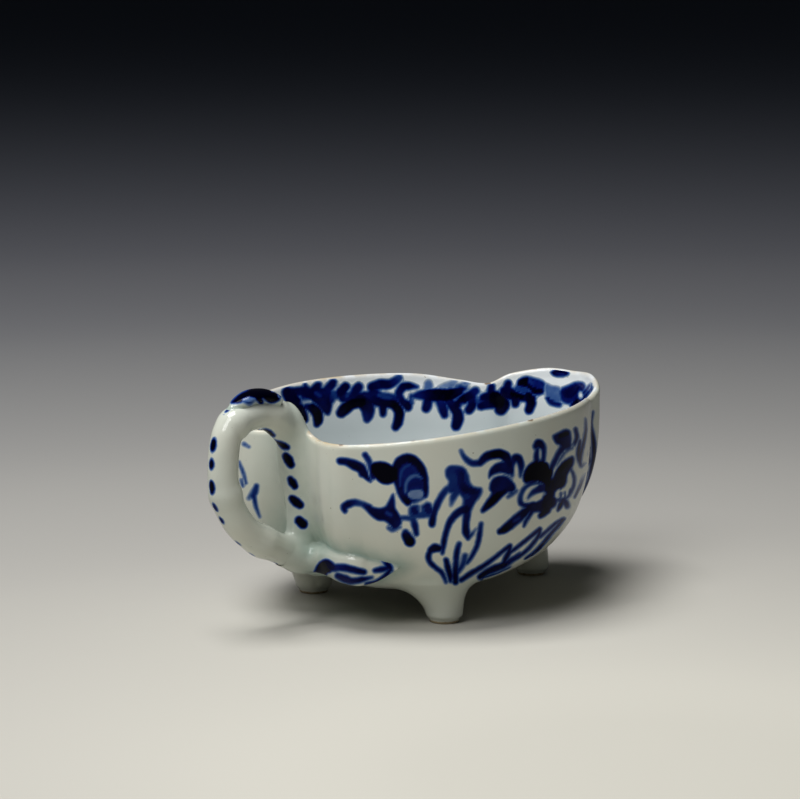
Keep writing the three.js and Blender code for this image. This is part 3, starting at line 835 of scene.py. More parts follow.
# Painting: brush strokes in underglaze blue, by the pixels that they cover in the
# photograph. A stroke is a tone (0 bare glaze, 1 nearly black), a width and the points it
# passes; tone and width may be lists that run along it. Where the width is None the points
# go round the edge of a filled shape. Lights are lifted out of the ink, and tops go over all.
nearInk = {
    "first leaf": (0.82, None, (
        (337, 460), (341, 458), (350, 459), (358, 461.5), (364, 465), (367, 470), (371, 480), (370, 482),
        (364, 478), (360, 476), (358, 472), (352, 469), (345, 465), (339, 464))),
    "first leaf, dark": (0.92, 6, ((349, 463), (359, 469))),
    "small leaf": ((0.7, 0.65, 0.75), (5, 5, 5), ((365, 455), (369, 461), (371, 470), (373, 477))),
    "bud": (1.0, None, (
        (371, 464), (379, 462), (386, 463), (392, 466), (398, 468), (398, 479), (394, 482), (387, 484),
        (381, 482.5), (376, 478), (371, 472))),
    "flower, fill": (0.7, None, (
        (398, 464), (407, 458), (416, 462), (423, 474), (426, 492), (418, 500), (408, 502), (400, 492),
        (396, 478))),
    "flower, top": ((0.85, 0.9, 0.95, 0.95, 0.85, 0.85), (8, 9, 9, 8, 6, 4), (
        (396, 468), (400, 461.5), (407, 458.5), (414, 461), (420, 467), (424, 476), (425.5, 487),
        (425, 496))),
    "flower, left": ((0.85, 0.8, 0.8, 0.95), (7, 7, 7, 7), (
        (396, 470), (397, 480), (400, 489), (403, 496), (408, 502))),
    "calyx": (0.56, None, (
        (409, 508), (413, 505), (418, 505), (423, 505), (427, 502), (432, 505), (432, 517), (424, 517),
        (418, 518), (410, 518))),
    "calyx, left": (0.74, 7, ((414, 510), (415, 512))),
    "calyx, right": (0.74, 8, ((427, 507), (429, 511))),
    "calyx, band": (0.6, 4, ((412, 516), (422, 516), (432, 514))),
    "hook leaf": ((0.84, 0.8, 0.8, 0.66, 0.62, 0.74), (4, 6, 7, 6, 5, 7), (
        (345, 511), (344, 507), (349, 504), (355, 502.5), (362, 504), (369, 508))),
    "broad leaf": (0.8, None, (
        (363, 505), (368, 505), (374, 507.5), (380, 508.5), (385, 507), (388, 503), (391, 497),
        (393, 494), (394.5, 500), (395, 508), (398, 513), (401, 518), (401, 524), (398, 528), (393, 529),
        (390, 525), (385, 521), (378, 520), (372, 516), (367, 511))),
    "broad leaf, lobe": (0.5, (4, 5, 3), ((389, 528), (393, 529.5), (400, 527))),
    "link": (0.62, 4, ((400, 518), (406, 518), (413, 519))),
    "thin leaf": ((0.6, 0.75, 0.75), (6, 6, 4), ((413, 519), (415, 526), (416.5, 534))),
    "drop": ((0.7, 0.9, 1.0, 1.0), (5, 8.5, 10, 8), (
        (405.5, 532), (406.5, 536), (409.5, 541), (410.5, 542))),
    "flag": (0.62, None, (
        (446, 470), (450, 466), (458, 466), (464, 468), (468, 474), (470, 482), (474, 487), (481, 488),
        (482, 493), (479, 498), (474, 504), (471, 511), (466, 513), (463, 507), (463, 499), (458, 493),
        (450, 493), (447, 488), (449, 482), (446, 476))),
    "flag, dark": ((0.6, 0.76, 0.74, 0.8, 0.82), (5, 9, 9, 9, 7), (
        (452, 470), (460, 474), (461, 483), (467, 490), (476, 492))),
    "flag, fold": (0.76, (7, 8, 7), ((477, 492), (472, 500), (468, 508))),
    "flag, spur": ((0.6, 0.55, 0.35), (7, 6, 3), ((457, 491), (453, 498), (451, 505))),
    "main stem": ((0.62, 0.66, 0.72, 0.8, 0.86), (6, 6, 6, 6, 6), (
        (447, 489), (441, 497), (437, 505), (433.5, 514), (432, 524))),
    "second stem": ((0.86, 0.82, 0.76, 0.76, 0.8, 0.76), (8, 7, 6, 5, 5, 3), (
        (467, 509), (459, 512), (451, 520), (447, 529), (444, 542), (442.5, 553))),
    "third stem": ((0.74, 0.76, 0.8, 0.85, 0.8), (8, 7, 6, 7, 4), (
        (468, 502), (467, 513), (466, 523), (466, 532), (468, 538))),
    "third stem, hook": ((0.75, 0.6, 0.4), (3, 3, 1.5), ((468, 538), (472, 534), (476, 529))),
    "heart leaf, curl": (0.88, (6, 8, 6), ((439, 548.5), (435, 548), (431, 550))),
    "heart leaf, left": ((0.85, 0.86, 0.84, 0.8, 0.78, 0.62), (4.5, 5, 4.5, 4, 4, 3), (
        (431, 550), (428.5, 556), (430, 562), (436, 568), (442, 573), (446, 582))),
    "heart leaf, vein": (0.9, (4, 5.5, 5, 3), ((446, 560), (448, 568), (450, 575), (450.5, 581))),
    "heart leaf, middle": ((0.7, 0.8, 0.8, 0.85, 0.95), (4.5, 5, 5, 6, 5), (
        (459, 544), (457, 552), (456, 562), (455.5, 573), (455.5, 582))),
    "heart leaf, small vein": ((0.62, 0.64, 0.76), (5, 5, 3), ((465, 556), (463, 564), (457, 574))),
    "heart leaf, right": ((0.66, 0.78, 0.76, 0.74, 0.68), (4, 4.5, 4, 3.5, 2.5), (
        (481, 524), (479.5, 535), (477, 546), (472, 556), (467, 563))),
    "long leaf": (0.86, (4, 4.5, 4, 3.3, 3.2, 3.6), (
        (461, 580), (470, 574), (482, 567), (493, 559), (503, 551), (510, 546))),
    "long leaf, hook": (0.82, (4, 4, 5, 4), ((510, 546), (509, 552), (506, 558), (504, 563))),
    "under leaf": ((0.95, 0.88, 0.85, 0.85, 0.75, 0.7), (4.5, 6, 7, 6, 4.5, 3), (
        (480, 577), (487, 572), (495, 568.5), (504, 565), (513, 559), (520, 554))),
    "under leaf, edge": (0.66, 2.6, ((481, 578.5), (490, 576), (500, 572.5), (510, 568))),
    "crescent": ((0.6, 0.64, 0.66, 0.72), (3, 4.5, 5.5, 6), (
        (461, 451), (465, 458), (472, 463), (480, 463))),
    "rose, top": ((0.8, 0.88, 1.0, 1.0, 0.9, 0.8), (6, 8, 8, 8.5, 9, 8), (
        (480, 463), (486, 457), (493, 454.5), (500, 454), (506, 457), (509, 464))),
    "rose, body": (0.78, None, (
        (490, 470), (496, 464), (504, 462), (512, 465), (514, 473), (509, 475), (501, 473), (493, 475),
        (489, 478))),
    "rose, dome": (0.78, None, (
        (489.5, 489), (491, 482), (495, 477.5), (502, 475.5), (509, 477), (513.5, 482), (515.5, 489),
        (512, 492), (506, 492), (500, 495), (495, 500), (490, 505), (484, 511), (481.5, 512), (484, 505),
        (488, 499), (492, 493))),
    "rose, low edge": ((0.9, 1.0, 1.0, 0.8), (5, 7.5, 7.5, 4), (
        (505, 491), (498, 495.5), (491, 502.5), (483, 510.5))),
    "rose, spur": (0.46, (3, 4, 4), ((508, 497), (512, 494), (516, 491))),
    "side leaf": ((0.5, 0.62, 0.78, 0.82, 0.76, 0.6), (5, 6, 7, 7, 6, 3), (
        (512, 475), (511.5, 466), (514, 459), (518, 458), (521, 465), (520.5, 476))),
    "knob": ((0.8, 0.88, 0.8), (6, 8, 7), ((536, 446), (539, 443.5), (542, 446))),
    "knob, right": (0.68, (5, 4, 4), ((543.5, 447), (543.7, 455), (543, 462))),
    "knob, left": (0.74, (4, 5, 5), ((537.5, 450), (536.5, 456), (537, 462))),
    "peony, ball": (1.0, None, (
        (523.5, 480), (524, 473), (528, 466), (534, 462), (541, 461), (547, 463), (550, 469), (551, 477),
        (551, 486), (547, 487), (542, 483), (536, 481), (530, 482), (526, 483))),
    "peony, back": ((1.0, 0.95, 0.9, 0.9), (8, 10, 11, 11), (
        (549, 472), (550, 483), (549, 494), (547, 505))),
    "peony, ring": ((0.6, 0.7, 0.62, 0.56, 0.7, 0.75), (3, 4, 4, 4.5, 5, 5), (
        (541, 483), (532, 483.5), (525, 488), (521, 495), (521, 503), (529, 506))),
    "peony, inner": ((0.75, 0.72, 0.66, 0.6), (8, 8, 5.5, 2.5), (
        (548, 487), (540, 488.5), (533, 492), (527.5, 498))),
    "peony, foot": (0.82, None, (
        (526, 506.5), (531, 502), (537, 502), (543, 499), (549, 496), (556, 498), (556, 505), (551, 509),
        (546, 514), (541, 518), (538.5, 517), (540, 512), (533, 512), (527, 510))),
    "peony, foot leaf": (0.92, (5, 7), ((541, 515.5), (547, 510))),
    "peony leaf": ((0.8, 0.85, 0.82, 0.9, 0.98, 0.95), (5, 8, 9, 8.5, 7, 5), (
        (530, 508), (524, 513), (517, 519), (510, 525), (504, 529.5), (500, 531.5))),
    "peony leaf, second": (0.74, (4.5, 3.6, 3.4, 2), ((533, 510), (529, 516), (525.5, 522), (524, 526))),
    "right petal": (0.88, None, (
        (552, 486), (553, 477), (557, 468.5), (562, 462.5), (568, 458.5), (572, 456.5), (574, 459),
        (573, 465), (570, 470), (567, 476), (566, 483), (562, 488), (557, 490), (553, 493))),
    "right petal, dark": (1.0, (6, 7, 6), ((560, 470), (565, 465), (570, 461))),
    "right petal, edge": (0.68, (2.5, 3, 3, 2.5), ((571, 470), (574, 476), (574, 484), (571.5, 492))),
    "comb, base": (0.66, (3, 4.5, 5, 3), ((556, 500), (562, 499), (568, 495), (571, 490))),
    "comb, leg": ((0.8, 0.95, 0.9), (4, 4, 2), ((563, 500), (560, 506), (558, 510))),
    "comb, second leg": (0.74, (4, 6, 5), ((563, 499), (566, 503), (567.5, 506))),
    "upper leaf": (0.8, None, (
        (553, 436), (556, 434), (561, 431.5), (566, 429.5), (570, 431.5), (571, 438), (571, 444),
        (570, 448), (563, 449), (560, 445), (557, 444), (554, 440))),
    "upper leaf, dark": (0.97, (5, 6), ((560, 436), (567, 434))),
    "upper leaf, end": (0.8, (3, 3.6, 3), ((575.5, 429), (577, 437), (575, 443))),
    "upper leaf, link": (0.46, 3.5, ((569, 445), (575, 444.5))),
    "upper leaf, stem": ((0.78, 0.72, 0.7, 0.75), (6, 5, 5, 4.5), (
        (564, 447), (559, 453), (555, 461), (551, 469))),
    "upper leaf, line": (0.5, 2.2, ((572, 448), (566, 451.5), (561, 458), (557, 465))),
    "lip sprig": ((0.6, 0.8, 0.86, 0.86, 0.84, 0.8), (2, 3, 3.4, 3.2, 3.4, 3), (
        (586, 419), (586.5, 428), (585.5, 436), (583.5, 444), (581, 453), (580, 461))),
    "lip sprig, second": ((0.8, 0.84, 0.86, 0.8), (3, 4.4, 3.8, 2.6), (
        (580, 441), (579, 449), (578.5, 457), (581, 466))),
    "lip sprig, hook": (0.6, (3, 3, 2), ((582, 466), (587, 463), (592, 464.5))),
    "lip line": ((0.7, 0.8, 0.86, 0.88, 0.88, 0.84, 0.8, 0.7), (1.6, 2, 3.4, 4.4, 4.6, 4, 3.4, 2.6), (
        (593, 412), (591, 423), (592.3, 434), (594, 446), (594, 457), (592, 467), (590, 477), (586, 486))),
    "lip spot": (0.84, (2, 3.4, 2), ((589.5, 447), (588.5, 455), (590, 463))),
    "lip stroke": ((0.86, 0.9, 0.9, 0.8), (3, 4.4, 3.6, 2), (
        (586, 473), (583, 481), (580, 488), (575, 497))),
    "lip stroke, second": (0.76, (2.4, 3, 2), ((590, 478), (586, 488), (578, 503))),
    "spray, first": (0.86, (2.5, 3, 3, 3.4), ((511, 552), (520, 545), (530, 537), (540, 529))),
    "spray, second": (0.86, (3, 3, 3, 3, 2.6, 2.4), (
        (540, 529), (539, 535), (535, 541), (529, 548), (521, 555), (512, 561))),
    "spray, third": (0.88, (2.4, 2.4, 2.4, 2), ((540, 537), (548, 530), (556, 523), (563, 519))),
    "spray, fourth": (0.88, (2.6, 2.8, 3, 3, 3, 2.4), (
        (564, 519), (557, 527), (549, 536), (541, 546), (533, 554), (526, 559))),
    "spray, fifth": (0.86, 2.6, ((541, 547), (537, 552), (532, 556))),
}
nearLift = {
    "small leaf, gap": (0.42, 1.8, ((366, 464), (368.5, 470), (369, 476))),
    "flower, faint arc": (0.55, (2, 2.4, 2.4, 2), ((400, 486), (400.5, 475), (404, 468), (410, 464.5))),
    "flower, light arc": (0.38, (2.5, 3.4, 4, 3.4, 2), (
        (405.5, 492), (406, 484), (410, 478), (416, 475.5), (422, 478))),
    "flower, eye": (0.25, None, (
        (407.5, 494), (410, 491), (416, 489.5), (422, 490), (424, 494), (421, 498), (414, 499.5),
        (409, 498))),
    "calyx, gap": (0.24, 2.6, ((420, 503), (420.5, 511))),
    "broad leaf, light": (0.55, 4, ((387, 513), (391, 515))),
    "rose, light arc": (0.46, (2, 2.8, 2.8, 2.4), ((490, 480), (495, 475), (505, 474.5), (514, 482))),
    "side leaf, gap": (0.22, (2, 3, 3), ((516, 466), (516, 473), (515, 481))),
    "knob, gap": (0.34, 2.4, ((540, 450), (540.3, 457))),
    "peony, light ring": (0.2, (2.5, 4, 4, 4.5), ((537, 485.5), (530, 489), (526, 495), (525.5, 501))),
    "peony, light comb": (0.3, (2.5, 4.5, 3.5), ((531, 501), (537, 497.5), (545, 493.5))),
    "petal, light line": (0.3, 1.8, ((552, 478), (555, 470), (560, 463))),
    "comb, light": (0.1, None, (
        (556, 497), (557, 491), (559, 489), (561, 491.5), (563, 488.5), (565, 492), (568, 490),
        (568, 495), (563, 497.5))),
    "petal, side light": (0.12, (2.5, 3.6, 2.5), ((569.5, 474), (570, 482), (567.5, 490))),
    "leaf, light": (0.66, 3, ((514, 521), (519, 518))),
}
nearTop = {
    "flower, crescent": (0.74, (3, 5.5, 5.5, 3), ((408, 491), (411, 485.5), (418, 483), (425, 485))),
    "flower, crescent rim": (0.85, 4, ((425, 484), (426, 492), (425, 496))),
    "flower, base": (0.56, (3.5, 3, 2.4), ((408, 502), (415, 501.5), (424, 497.5))),
    "comb, tooth": (0.7, 1.8, ((561, 498), (561, 493.5))),
    "comb, second tooth": (0.7, 1.8, ((565, 497), (565, 493))),
}
borderInk = {
    "end leaf": ((0.84, 0.9, 0.94, 0.96, 0.97), (12, 14, 13, 11, 8), (
        (288, 393), (292, 399), (297, 406), (301, 413), (304, 419))),
    "end leaf, top": (0.8, 9, ((289, 392), (297, 392), (304, 391))),
    "point": (0.76, (6, 3), ((307, 390), (305, 384.5))),
    "lobe one": (0.82, (9, 8), ((312, 393), (318, 386))),
    "lobe two": (0.78, (9, 8), ((326, 392), (333, 383))),
    "lobe three": (0.82, 9, ((340, 393), (345.5, 387))),
    "lobe four": (0.8, (10, 9), ((353, 395), (358.5, 387))),
    "ground": (0.66, None, (
        (300, 388), (312, 390), (330, 390), (345, 392), (360, 392), (372, 392), (392, 394), (402, 398),
        (396, 403), (372, 404), (350, 403), (337, 399), (331, 404), (312, 400), (302, 400))),
    "middle": (0.8, None, (
        (300, 387), (312, 388), (325, 388), (332, 391), (330, 397), (332, 403), (331, 410), (328.5, 415),
        (323, 412), (317, 405), (309, 399), (302, 397))),
    "second leaf": ((0.7, 0.95, 1.0, 1.0, 0.9), (6, 9, 10, 9, 6), (
        (306, 406.5), (312, 408), (317, 413), (318, 420), (317, 424))),
    "arch, left": ((1.0, 1.0, 1.0, 0.9), (10, 10, 11, 9), (
        (362, 402), (352, 404), (345, 409), (341, 413))),
    "arch, right": ((0.9, 0.8, 0.76, 0.74), (12, 14, 11, 7), (
        (360, 400), (367, 407), (368, 414), (367, 419))),
    "arch, top": (0.76, 11, ((344, 397), (356, 398), (370, 397))),
    "level leaf": ((0.82, 0.84, 0.82, 0.74, 0.56), (9, 10, 9, 8, 7), (
        (372, 387), (380, 384.5), (388, 384.5), (394, 382), (399, 378))),
    "long leaf": ((0.74, 0.86, 0.95, 0.96, 0.92, 0.85), (9, 10, 9, 9, 9, 7), (
        (364, 396), (380, 402), (393, 404), (399, 412), (398, 422), (395.5, 427))),
    "long leaf, spur": (0.85, (8, 7, 6), ((383, 403), (383, 409), (383, 414))),
    "link": (0.78, (7, 6, 5), ((372, 391), (386, 398), (398, 404))),
    "scroll leaf, top": ((0.78, 0.84, 0.86, 0.7), (8, 8, 7, 3), (
        (399, 393), (403, 387), (409, 386), (417, 387))),
    "scroll leaf, low": ((0.76, 0.8, 0.84, 0.84), (7, 7, 9, 8), (
        (399, 394), (402, 401), (407, 405), (408, 407))),
    "scroll leaf, side": (0.62, 4, ((411, 396), (411.5, 403))),
    "band": ((0.66, 0.76, 0.9, 1.0, 1.0, 0.86), (4, 9, 12, 13, 12, 8), (
        (413, 396), (421, 395), (430, 395), (440, 395), (449, 395), (459, 392))),
    "band, spur": ((0.8, 0.8, 0.84), (9, 9, 8), ((428, 400), (427, 406), (426, 408.5))),
    "band, lens": (0.82, (5, 7, 6, 3), ((444, 392), (452, 391.5), (460, 390), (467, 387))),
    "drop leaf": ((0.7, 0.78, 0.8), (9, 9, 7), ((440, 400), (443, 409), (444.5, 415))),
    "drop stem": ((0.74, 0.8, 0.84, 0.84, 0.86), (7, 9, 10, 11, 9), (
        (445, 398), (452, 405), (457, 412), (458, 419), (456, 426))),
    "slant leaf": ((0.74, 0.86, 0.94, 0.86), (8, 9, 9, 8), (
        (475.5, 391), (469, 396), (463, 399.5), (457, 405))),
    "slant leaf, spur": ((0.78, 0.82, 0.82), (9, 9, 8), ((472, 398), (472, 405), (469, 410))),
    "cloud, top": (0.82, (7, 8), ((491.5, 387), (491, 394))),
    "cloud, upper": (0.86, (10, 8), ((493, 395), (483, 398))),
    "cloud, lower": (0.84, (12, 10, 8), ((495, 402), (486, 404), (481, 406))),
    "cloud, right": (0.92, (12, 13, 12), ((498, 399), (503, 404), (501, 409))),
    "cloud, heart": (1.0, 14, ((495, 398), (499, 402))),
    "crown": (0.82, (7, 9), ((508, 383.5), (507, 390))),
    "crown, band": (0.84, None, (
        (500, 389), (507, 386), (514, 389), (521, 393), (530, 394), (536, 397), (533, 402), (520, 401),
        (510, 400), (502, 397))),
    "crown, dark": (1.0, 6, ((512, 394), (522, 397))),
    "crown, spur": (0.84, (9, 8, 7), ((515, 397), (515.5, 402), (515.3, 404))),
    "crown, leaf": ((0.95, 0.95, 0.9), (9, 9.5, 8), ((528, 396), (531, 403), (529, 410))),
    "crown, patch": (0.58, 7, ((518, 388.5), (526, 391))),
    "hatched leaf": (0.66, None, (
        (517, 383), (521, 378), (527, 376.5), (534, 378), (541, 380), (545.5, 384), (543.5, 390),
        (539, 395.5), (533, 394), (529, 390), (523, 388), (518, 387))),
    "hatched leaf, core": (1.0, None, (
        (517.5, 382), (521, 378), (527, 377), (529, 382), (530, 388), (524, 386.5), (518.5, 386))),
    "hatched leaf, low": (0.95, (4, 7, 6), ((529, 386), (535, 391), (541, 391))),
    "violet leaf": (0.4, None, (
        (545, 384), (552, 386), (560, 388), (562, 398), (558, 404), (550, 402), (546, 397))),
    "violet leaf, edge": (0.76, (4, 5.5, 5), ((547.5, 398), (551.5, 402.5), (559, 404.5))),
    "far leaf": (0.74, None, (
        (560, 390), (567, 386), (575, 382.5), (582, 382.5), (585.5, 387), (581, 395), (575, 401),
        (568, 404), (561, 400))),
    "far leaf, core": (0.84, None, (
        (561, 391), (568, 387.5), (576, 384), (580, 387), (576, 395), (570, 400), (563, 397))),
    "far leaf, lower": ((0.9, 0.95, 0.9), (4, 6, 5), ((572, 405), (577, 401), (583, 397.5))),
    "far sprig": (0.8, (4, 3, 1.6), ((583, 393.5), (587, 389), (590.5, 384.5))),
    "far sprig, second": (0.8, (4, 3, 2), ((584, 397), (588.5, 392), (592, 388))),
    # paler strokes where glare lies on the far wall: a painted highlight over the blue
    "lobe in painted glare": (0.34, (8, 9), ((428.5, 384), (428, 391))),
    "leaf in painted glare": (0.24, (5, 6, 5), ((440, 388), (448, 385), (455, 382))),
    "line of leaf in painted glare": (0.4, 2, ((449, 387), (458, 385), (466, 383))),
    "second lobe in painted glare": (0.26, (5, 6), ((460, 386), (467, 383))),
    "band patch": (0.55, 6, ((473, 400), (478, 401))),
    "lip oval": (0.9, None, (
        (551, 372.5), (555, 369.5), (561, 369.5), (567, 371.5), (568.5, 374), (563, 376.5), (555, 376))),
}
borderLift = {
    "light patch one": (0.5, (4, 6, 4), ((302, 403), (306, 401), (310, 402.5))),
    "light patch two": (0.56, (4, 6), ((333, 392), (336.5, 399))),
    "light patch three": (0.55, (4, 6, 4), ((379, 395), (384, 396.5), (390, 398))),
    "light patch four": (0.58, 4, ((350, 391), (347, 396))),
    "purple patch": (0.6, 4, ((316, 393), (320, 396))),
    "scroll leaf, eye": (0.34, (3, 4), ((405, 394), (407.5, 395.5))),
    "slant leaf, eye": (0.46, 3, ((462, 404), (462.5, 407))),
    "white spot": (0.06, (4.4, 5), ((580.3, 393.5), (580.8, 396.5))),
    "lip oval, middle": (0.66, (2, 3, 2), ((556, 374), (560, 374.5), (564, 374))),
}
borderTop = {
    "hatch one": (0.86, 1.5, ((533, 378.5), (536, 391))),
    "hatch two": (0.86, 1.5, ((537, 380), (540, 392))),
    "hatch three": (0.84, 1.5, ((541, 381), (543, 390))),
    "violet hatch one": (0.46, 1.2, ((549, 386), (549, 398))),
    "violet hatch two": (0.46, 1.2, ((553, 387), (553, 400))),
    "violet hatch three": (0.46, 1.2, ((557, 388), (557, 401))),
    "far hatch one": (0.92, 1.3, ((568, 387), (573, 399))),
    "far hatch two": (0.92, 1.3, ((573, 384.5), (577, 395))),
}
leafInk = {
    "blob": ((0.85, 1.0, 0.95, 0.8), (9, 13, 14, 9), ((319, 572), (322.5, 569), (326, 566.5), (331, 567))),
    "blob stroke": ((0.7, 0.72, 0.78, 0.84, 0.86), (7, 7, 6.5, 6, 5), (
        (332, 568), (342, 567.5), (350, 569), (358, 571), (364, 572))),
    "lower leaf": ((0.72, 0.76, 0.8, 0.85, 0.7), (6, 7.5, 6, 5, 2), (
        (338, 576), (345, 579), (352, 581), (362, 579.5), (372, 577.5))),
    "dash": (0.78, (4, 5.5, 4.5), ((375, 570.5), (381, 569.5), (388, 568))),
    "tip": ((0.4, 0.78, 0.8, 0.7), (4, 5.5, 5.5, 4), ((383, 560.5), (387, 564), (390, 567.5), (391, 570))),
    "edge": (0.82, (4, 4, 3, 2), ((391, 569), (385, 576), (376, 581.5), (366, 583.5))),
}
handleInk = {
    "teardrop one": (1.0, (1.6, 5, 5.5, 2.5), ((261, 431), (265, 431.5), (269, 433), (273.5, 435.5))),
    "teardrop two": (1.0, (1.5, 4, 6, 4), ((275, 441), (279.5, 443.5), (284, 446), (287.5, 447.5))),
    "oval one": (1.0, (6, 8.5, 7), ((285.8, 456), (288.5, 460), (291, 464.5))),
    "oval two": (1.0, (5, 7.5, 6), ((290.3, 479), (292.5, 482.5), (294.7, 486))),
    "oval three": (1.0, (6, 8.5, 7), ((292, 498.5), (296, 502), (300, 505))),
    "oval four": (1.0, (8, 9), ((299, 520.5), (303, 524))),
}
farLobeInk = {
    "mark": (0.5, (3, 2), ((244, 444), (249, 447))),
    "line": (0.62, (1.6, 2.4, 1.6), ((239, 462), (243, 472), (246, 483))),
    "short line": (0.6, 1.8, ((241, 480), (243, 486))),
    "arrow, left": (0.42, 3.6, ((249, 498), (253, 491))),
    "arrow, right": (0.64, (5, 6, 4), ((253, 496), (255, 491), (256.5, 486))),
    "arrow, stem": ((0.66, 0.66, 0.5), (3.4, 3, 1.5), ((254, 496), (256, 507), (260, 517))),
}
scrollInk = {
    "cap": (1.0, None, (
        (231, 402.5), (237, 396), (245, 391), (255, 387), (268, 386), (277, 387), (281, 393), (279, 400),
        (272, 403), (265, 401), (261, 404), (256, 401), (250, 405), (243, 402.5), (237, 403))),
}
scrollLift = {
    "pale patch": (0.3, (4, 6, 5), ((244, 400), (249, 399.5), (254, 400))),
    "blue scallop": (0.5, 3, ((243, 402.5), (249, 404), (256, 402))),
    "small gap": (0.34, 2.4, ((263, 399), (266, 403))),
    "curl gap": (0.15, 1.6, ((272, 391), (277, 392), (279, 397))),
}
rimNicks = {
    "near left": (1.0, 2.2, ((340, 445), (342, 445))),
    "near second": (0.7, 2, ((387, 441), (389, 441))),
    "near third": (0.8, 2, ((412, 440), (414, 440))),
    "near lip": (0.9, 2.2, ((529, 420), (532, 420))),
    "far notch": (1.0, (3, 4), ((486, 383), (489, 384))),
}
# Dashes on the handle's back: tone, the pixel in its middle, and its length and width in mm
backDashes = {
    "top": (0.9, (230.7, 408.2), 1.9, 0.9),
    "first": (1.0, (213, 445), 2.1, 1.5),
    "second": (0.95, (208.7, 463), 1.8, 1.3),
    "third": (1.0, (210.7, 488), 2.1, 1.4),
    "fourth": (0.8, (214.7, 506.5), 1.5, 0.95),
    "fifth": (0.8, (221.2, 521.5), 1.3, 0.9),
    "sixth": (0.6, (239.3, 542), 1.2, 0.7),
    "seventh": (0.55, (254.7, 552), 0.9, 0.6),
    "eighth": (0.6, (275.6, 562), 1.2, 0.7),
}
# The back of the stalk looks away from the bowl and this much upwards. Every second place along
# the stalk is tried for the nearest, and the middle of a dash doesn't divide by nothing.
backRise = 0.2
stride = 2
leastReach = 1e-3
# How strokes are laid: steps from one point of theirs to the next, how far round a stroke its
# distance is worked out, and half of the soft edge, the last two in pixels
pixelsPerMm = 5.0
brushStep = 4
brushReach = 14
softEdge = 1.2
# rows of the skin by which the painting of either side runs over the rim
rimOverlap = 2
painted = {
    # cosine to the line of sight up to which a dot of the handle runs on past the silhouette
    "roundTheEdge": -0.55,
    # across the object, in mm, where those dots end on the handle and in the cleft
    "dotsEndAt": 1.5,
    "cleftDotsEndAt": 0.5,
    # strokes on the outer wall shrink to nothing between these cosines, by this many pixels
    "fadeCosines": (0.02, 0.2),
    "lostAtEdge": 7.0,
    # heights between which the grass fades out down the front foot
    "frontFootFade": (8.0, 11.0),
    # where the mirrored border stops, so that it meets no stroke of the lip halfway
    "hiddenFrom": 505,
    # the rest are turns round the rim: from where the far wall's border is seen, the two between
    # which it is folded back once that wall faces away, where the far lobe begins, and the cleft
    "borderFrom": 0.43,
    "borderFold": (0.63, 0.731),
    "farLobeFrom": 0.8,
    "cleft": (0.93, 0.06),
}
# Inside the bowl the glaze is painted paler near the rim as a painted highlight, and loses some of that over
# so many mm, from so far below the rim's highest point, where it is darker as painted shade. It is rubbed off
# the rim, most at one place across the photograph.
worn = {
    "highlightBelow": 5.0,
    "highlightDepth": 9.0,
    "highlightLoss": 0.6,
    "rubbedPixel": 328,
    "rubbedSpread": 24,
    "rubbedMost": 1.2,
    "rubbedRows": 0.45,
    "rubbedAnywhere": 0.6,
    "rubbedThere": 0.6,
}


def runAlong(values, at):
    # one value, or several spread evenly along a stroke
    values = np.atleast_1d(np.array(values, float))
    count = max(len(values), 2)
    return np.interp(at, np.linspace(0, 1, count), np.resize(values, count))


def brushStroke(pixels, tones, widths, knots):
    # distance in pixels inside the edge of a stroke or filled shape, and the stroke's tone
    if widths is None:
        at = np.arange(len(knots) * brushStep) / (len(knots) * brushStep)
        return edgeDistance(pixels, closedCurve(knots, at)), np.full(len(pixels), tones)
    at = np.linspace(0, 1, (len(knots) - 1) * brushStep + 1)
    path = openCurve(knots, at)
    half = runAlong(widths, at) / 2
    tones = runAlong(tones, at)
    inside = np.full(len(pixels), -farAway)
    tone = np.zeros(len(pixels))
    for i in range(len(path) - 1):
        share, away = alongSegment(pixels, path[i], path[i + 1])
        depth = between(half[i], half[i + 1], share) - np.linalg.norm(away, axis=1)
        tone = np.where(depth > inside, between(tones[i], tones[i + 1], share), tone)
        inside = np.maximum(inside, depth)
    return inside, tone


def edgeDistance(pixels, edge):
    # distance to the edge of a filled shape, negative outside it
    inside = np.zeros(len(pixels), bool)
    nearest = np.full(len(pixels), farAway)
    for a, b in zip(edge, np.roll(edge, -1, axis=0)):
        share, away = alongSegment(pixels, a, b)
        nearest = np.minimum(nearest, np.linalg.norm(away, axis=1))
        if a[1] != b[1]:
            along = b - a
            level = (a[1] > pixels[:, 1]) != (b[1] > pixels[:, 1])
            inside ^= level & (pixels[:, 0] < a[0] + along[0] * (pixels[:, 1] - a[1]) / along[1])
    return np.where(inside, nearest, -nearest)


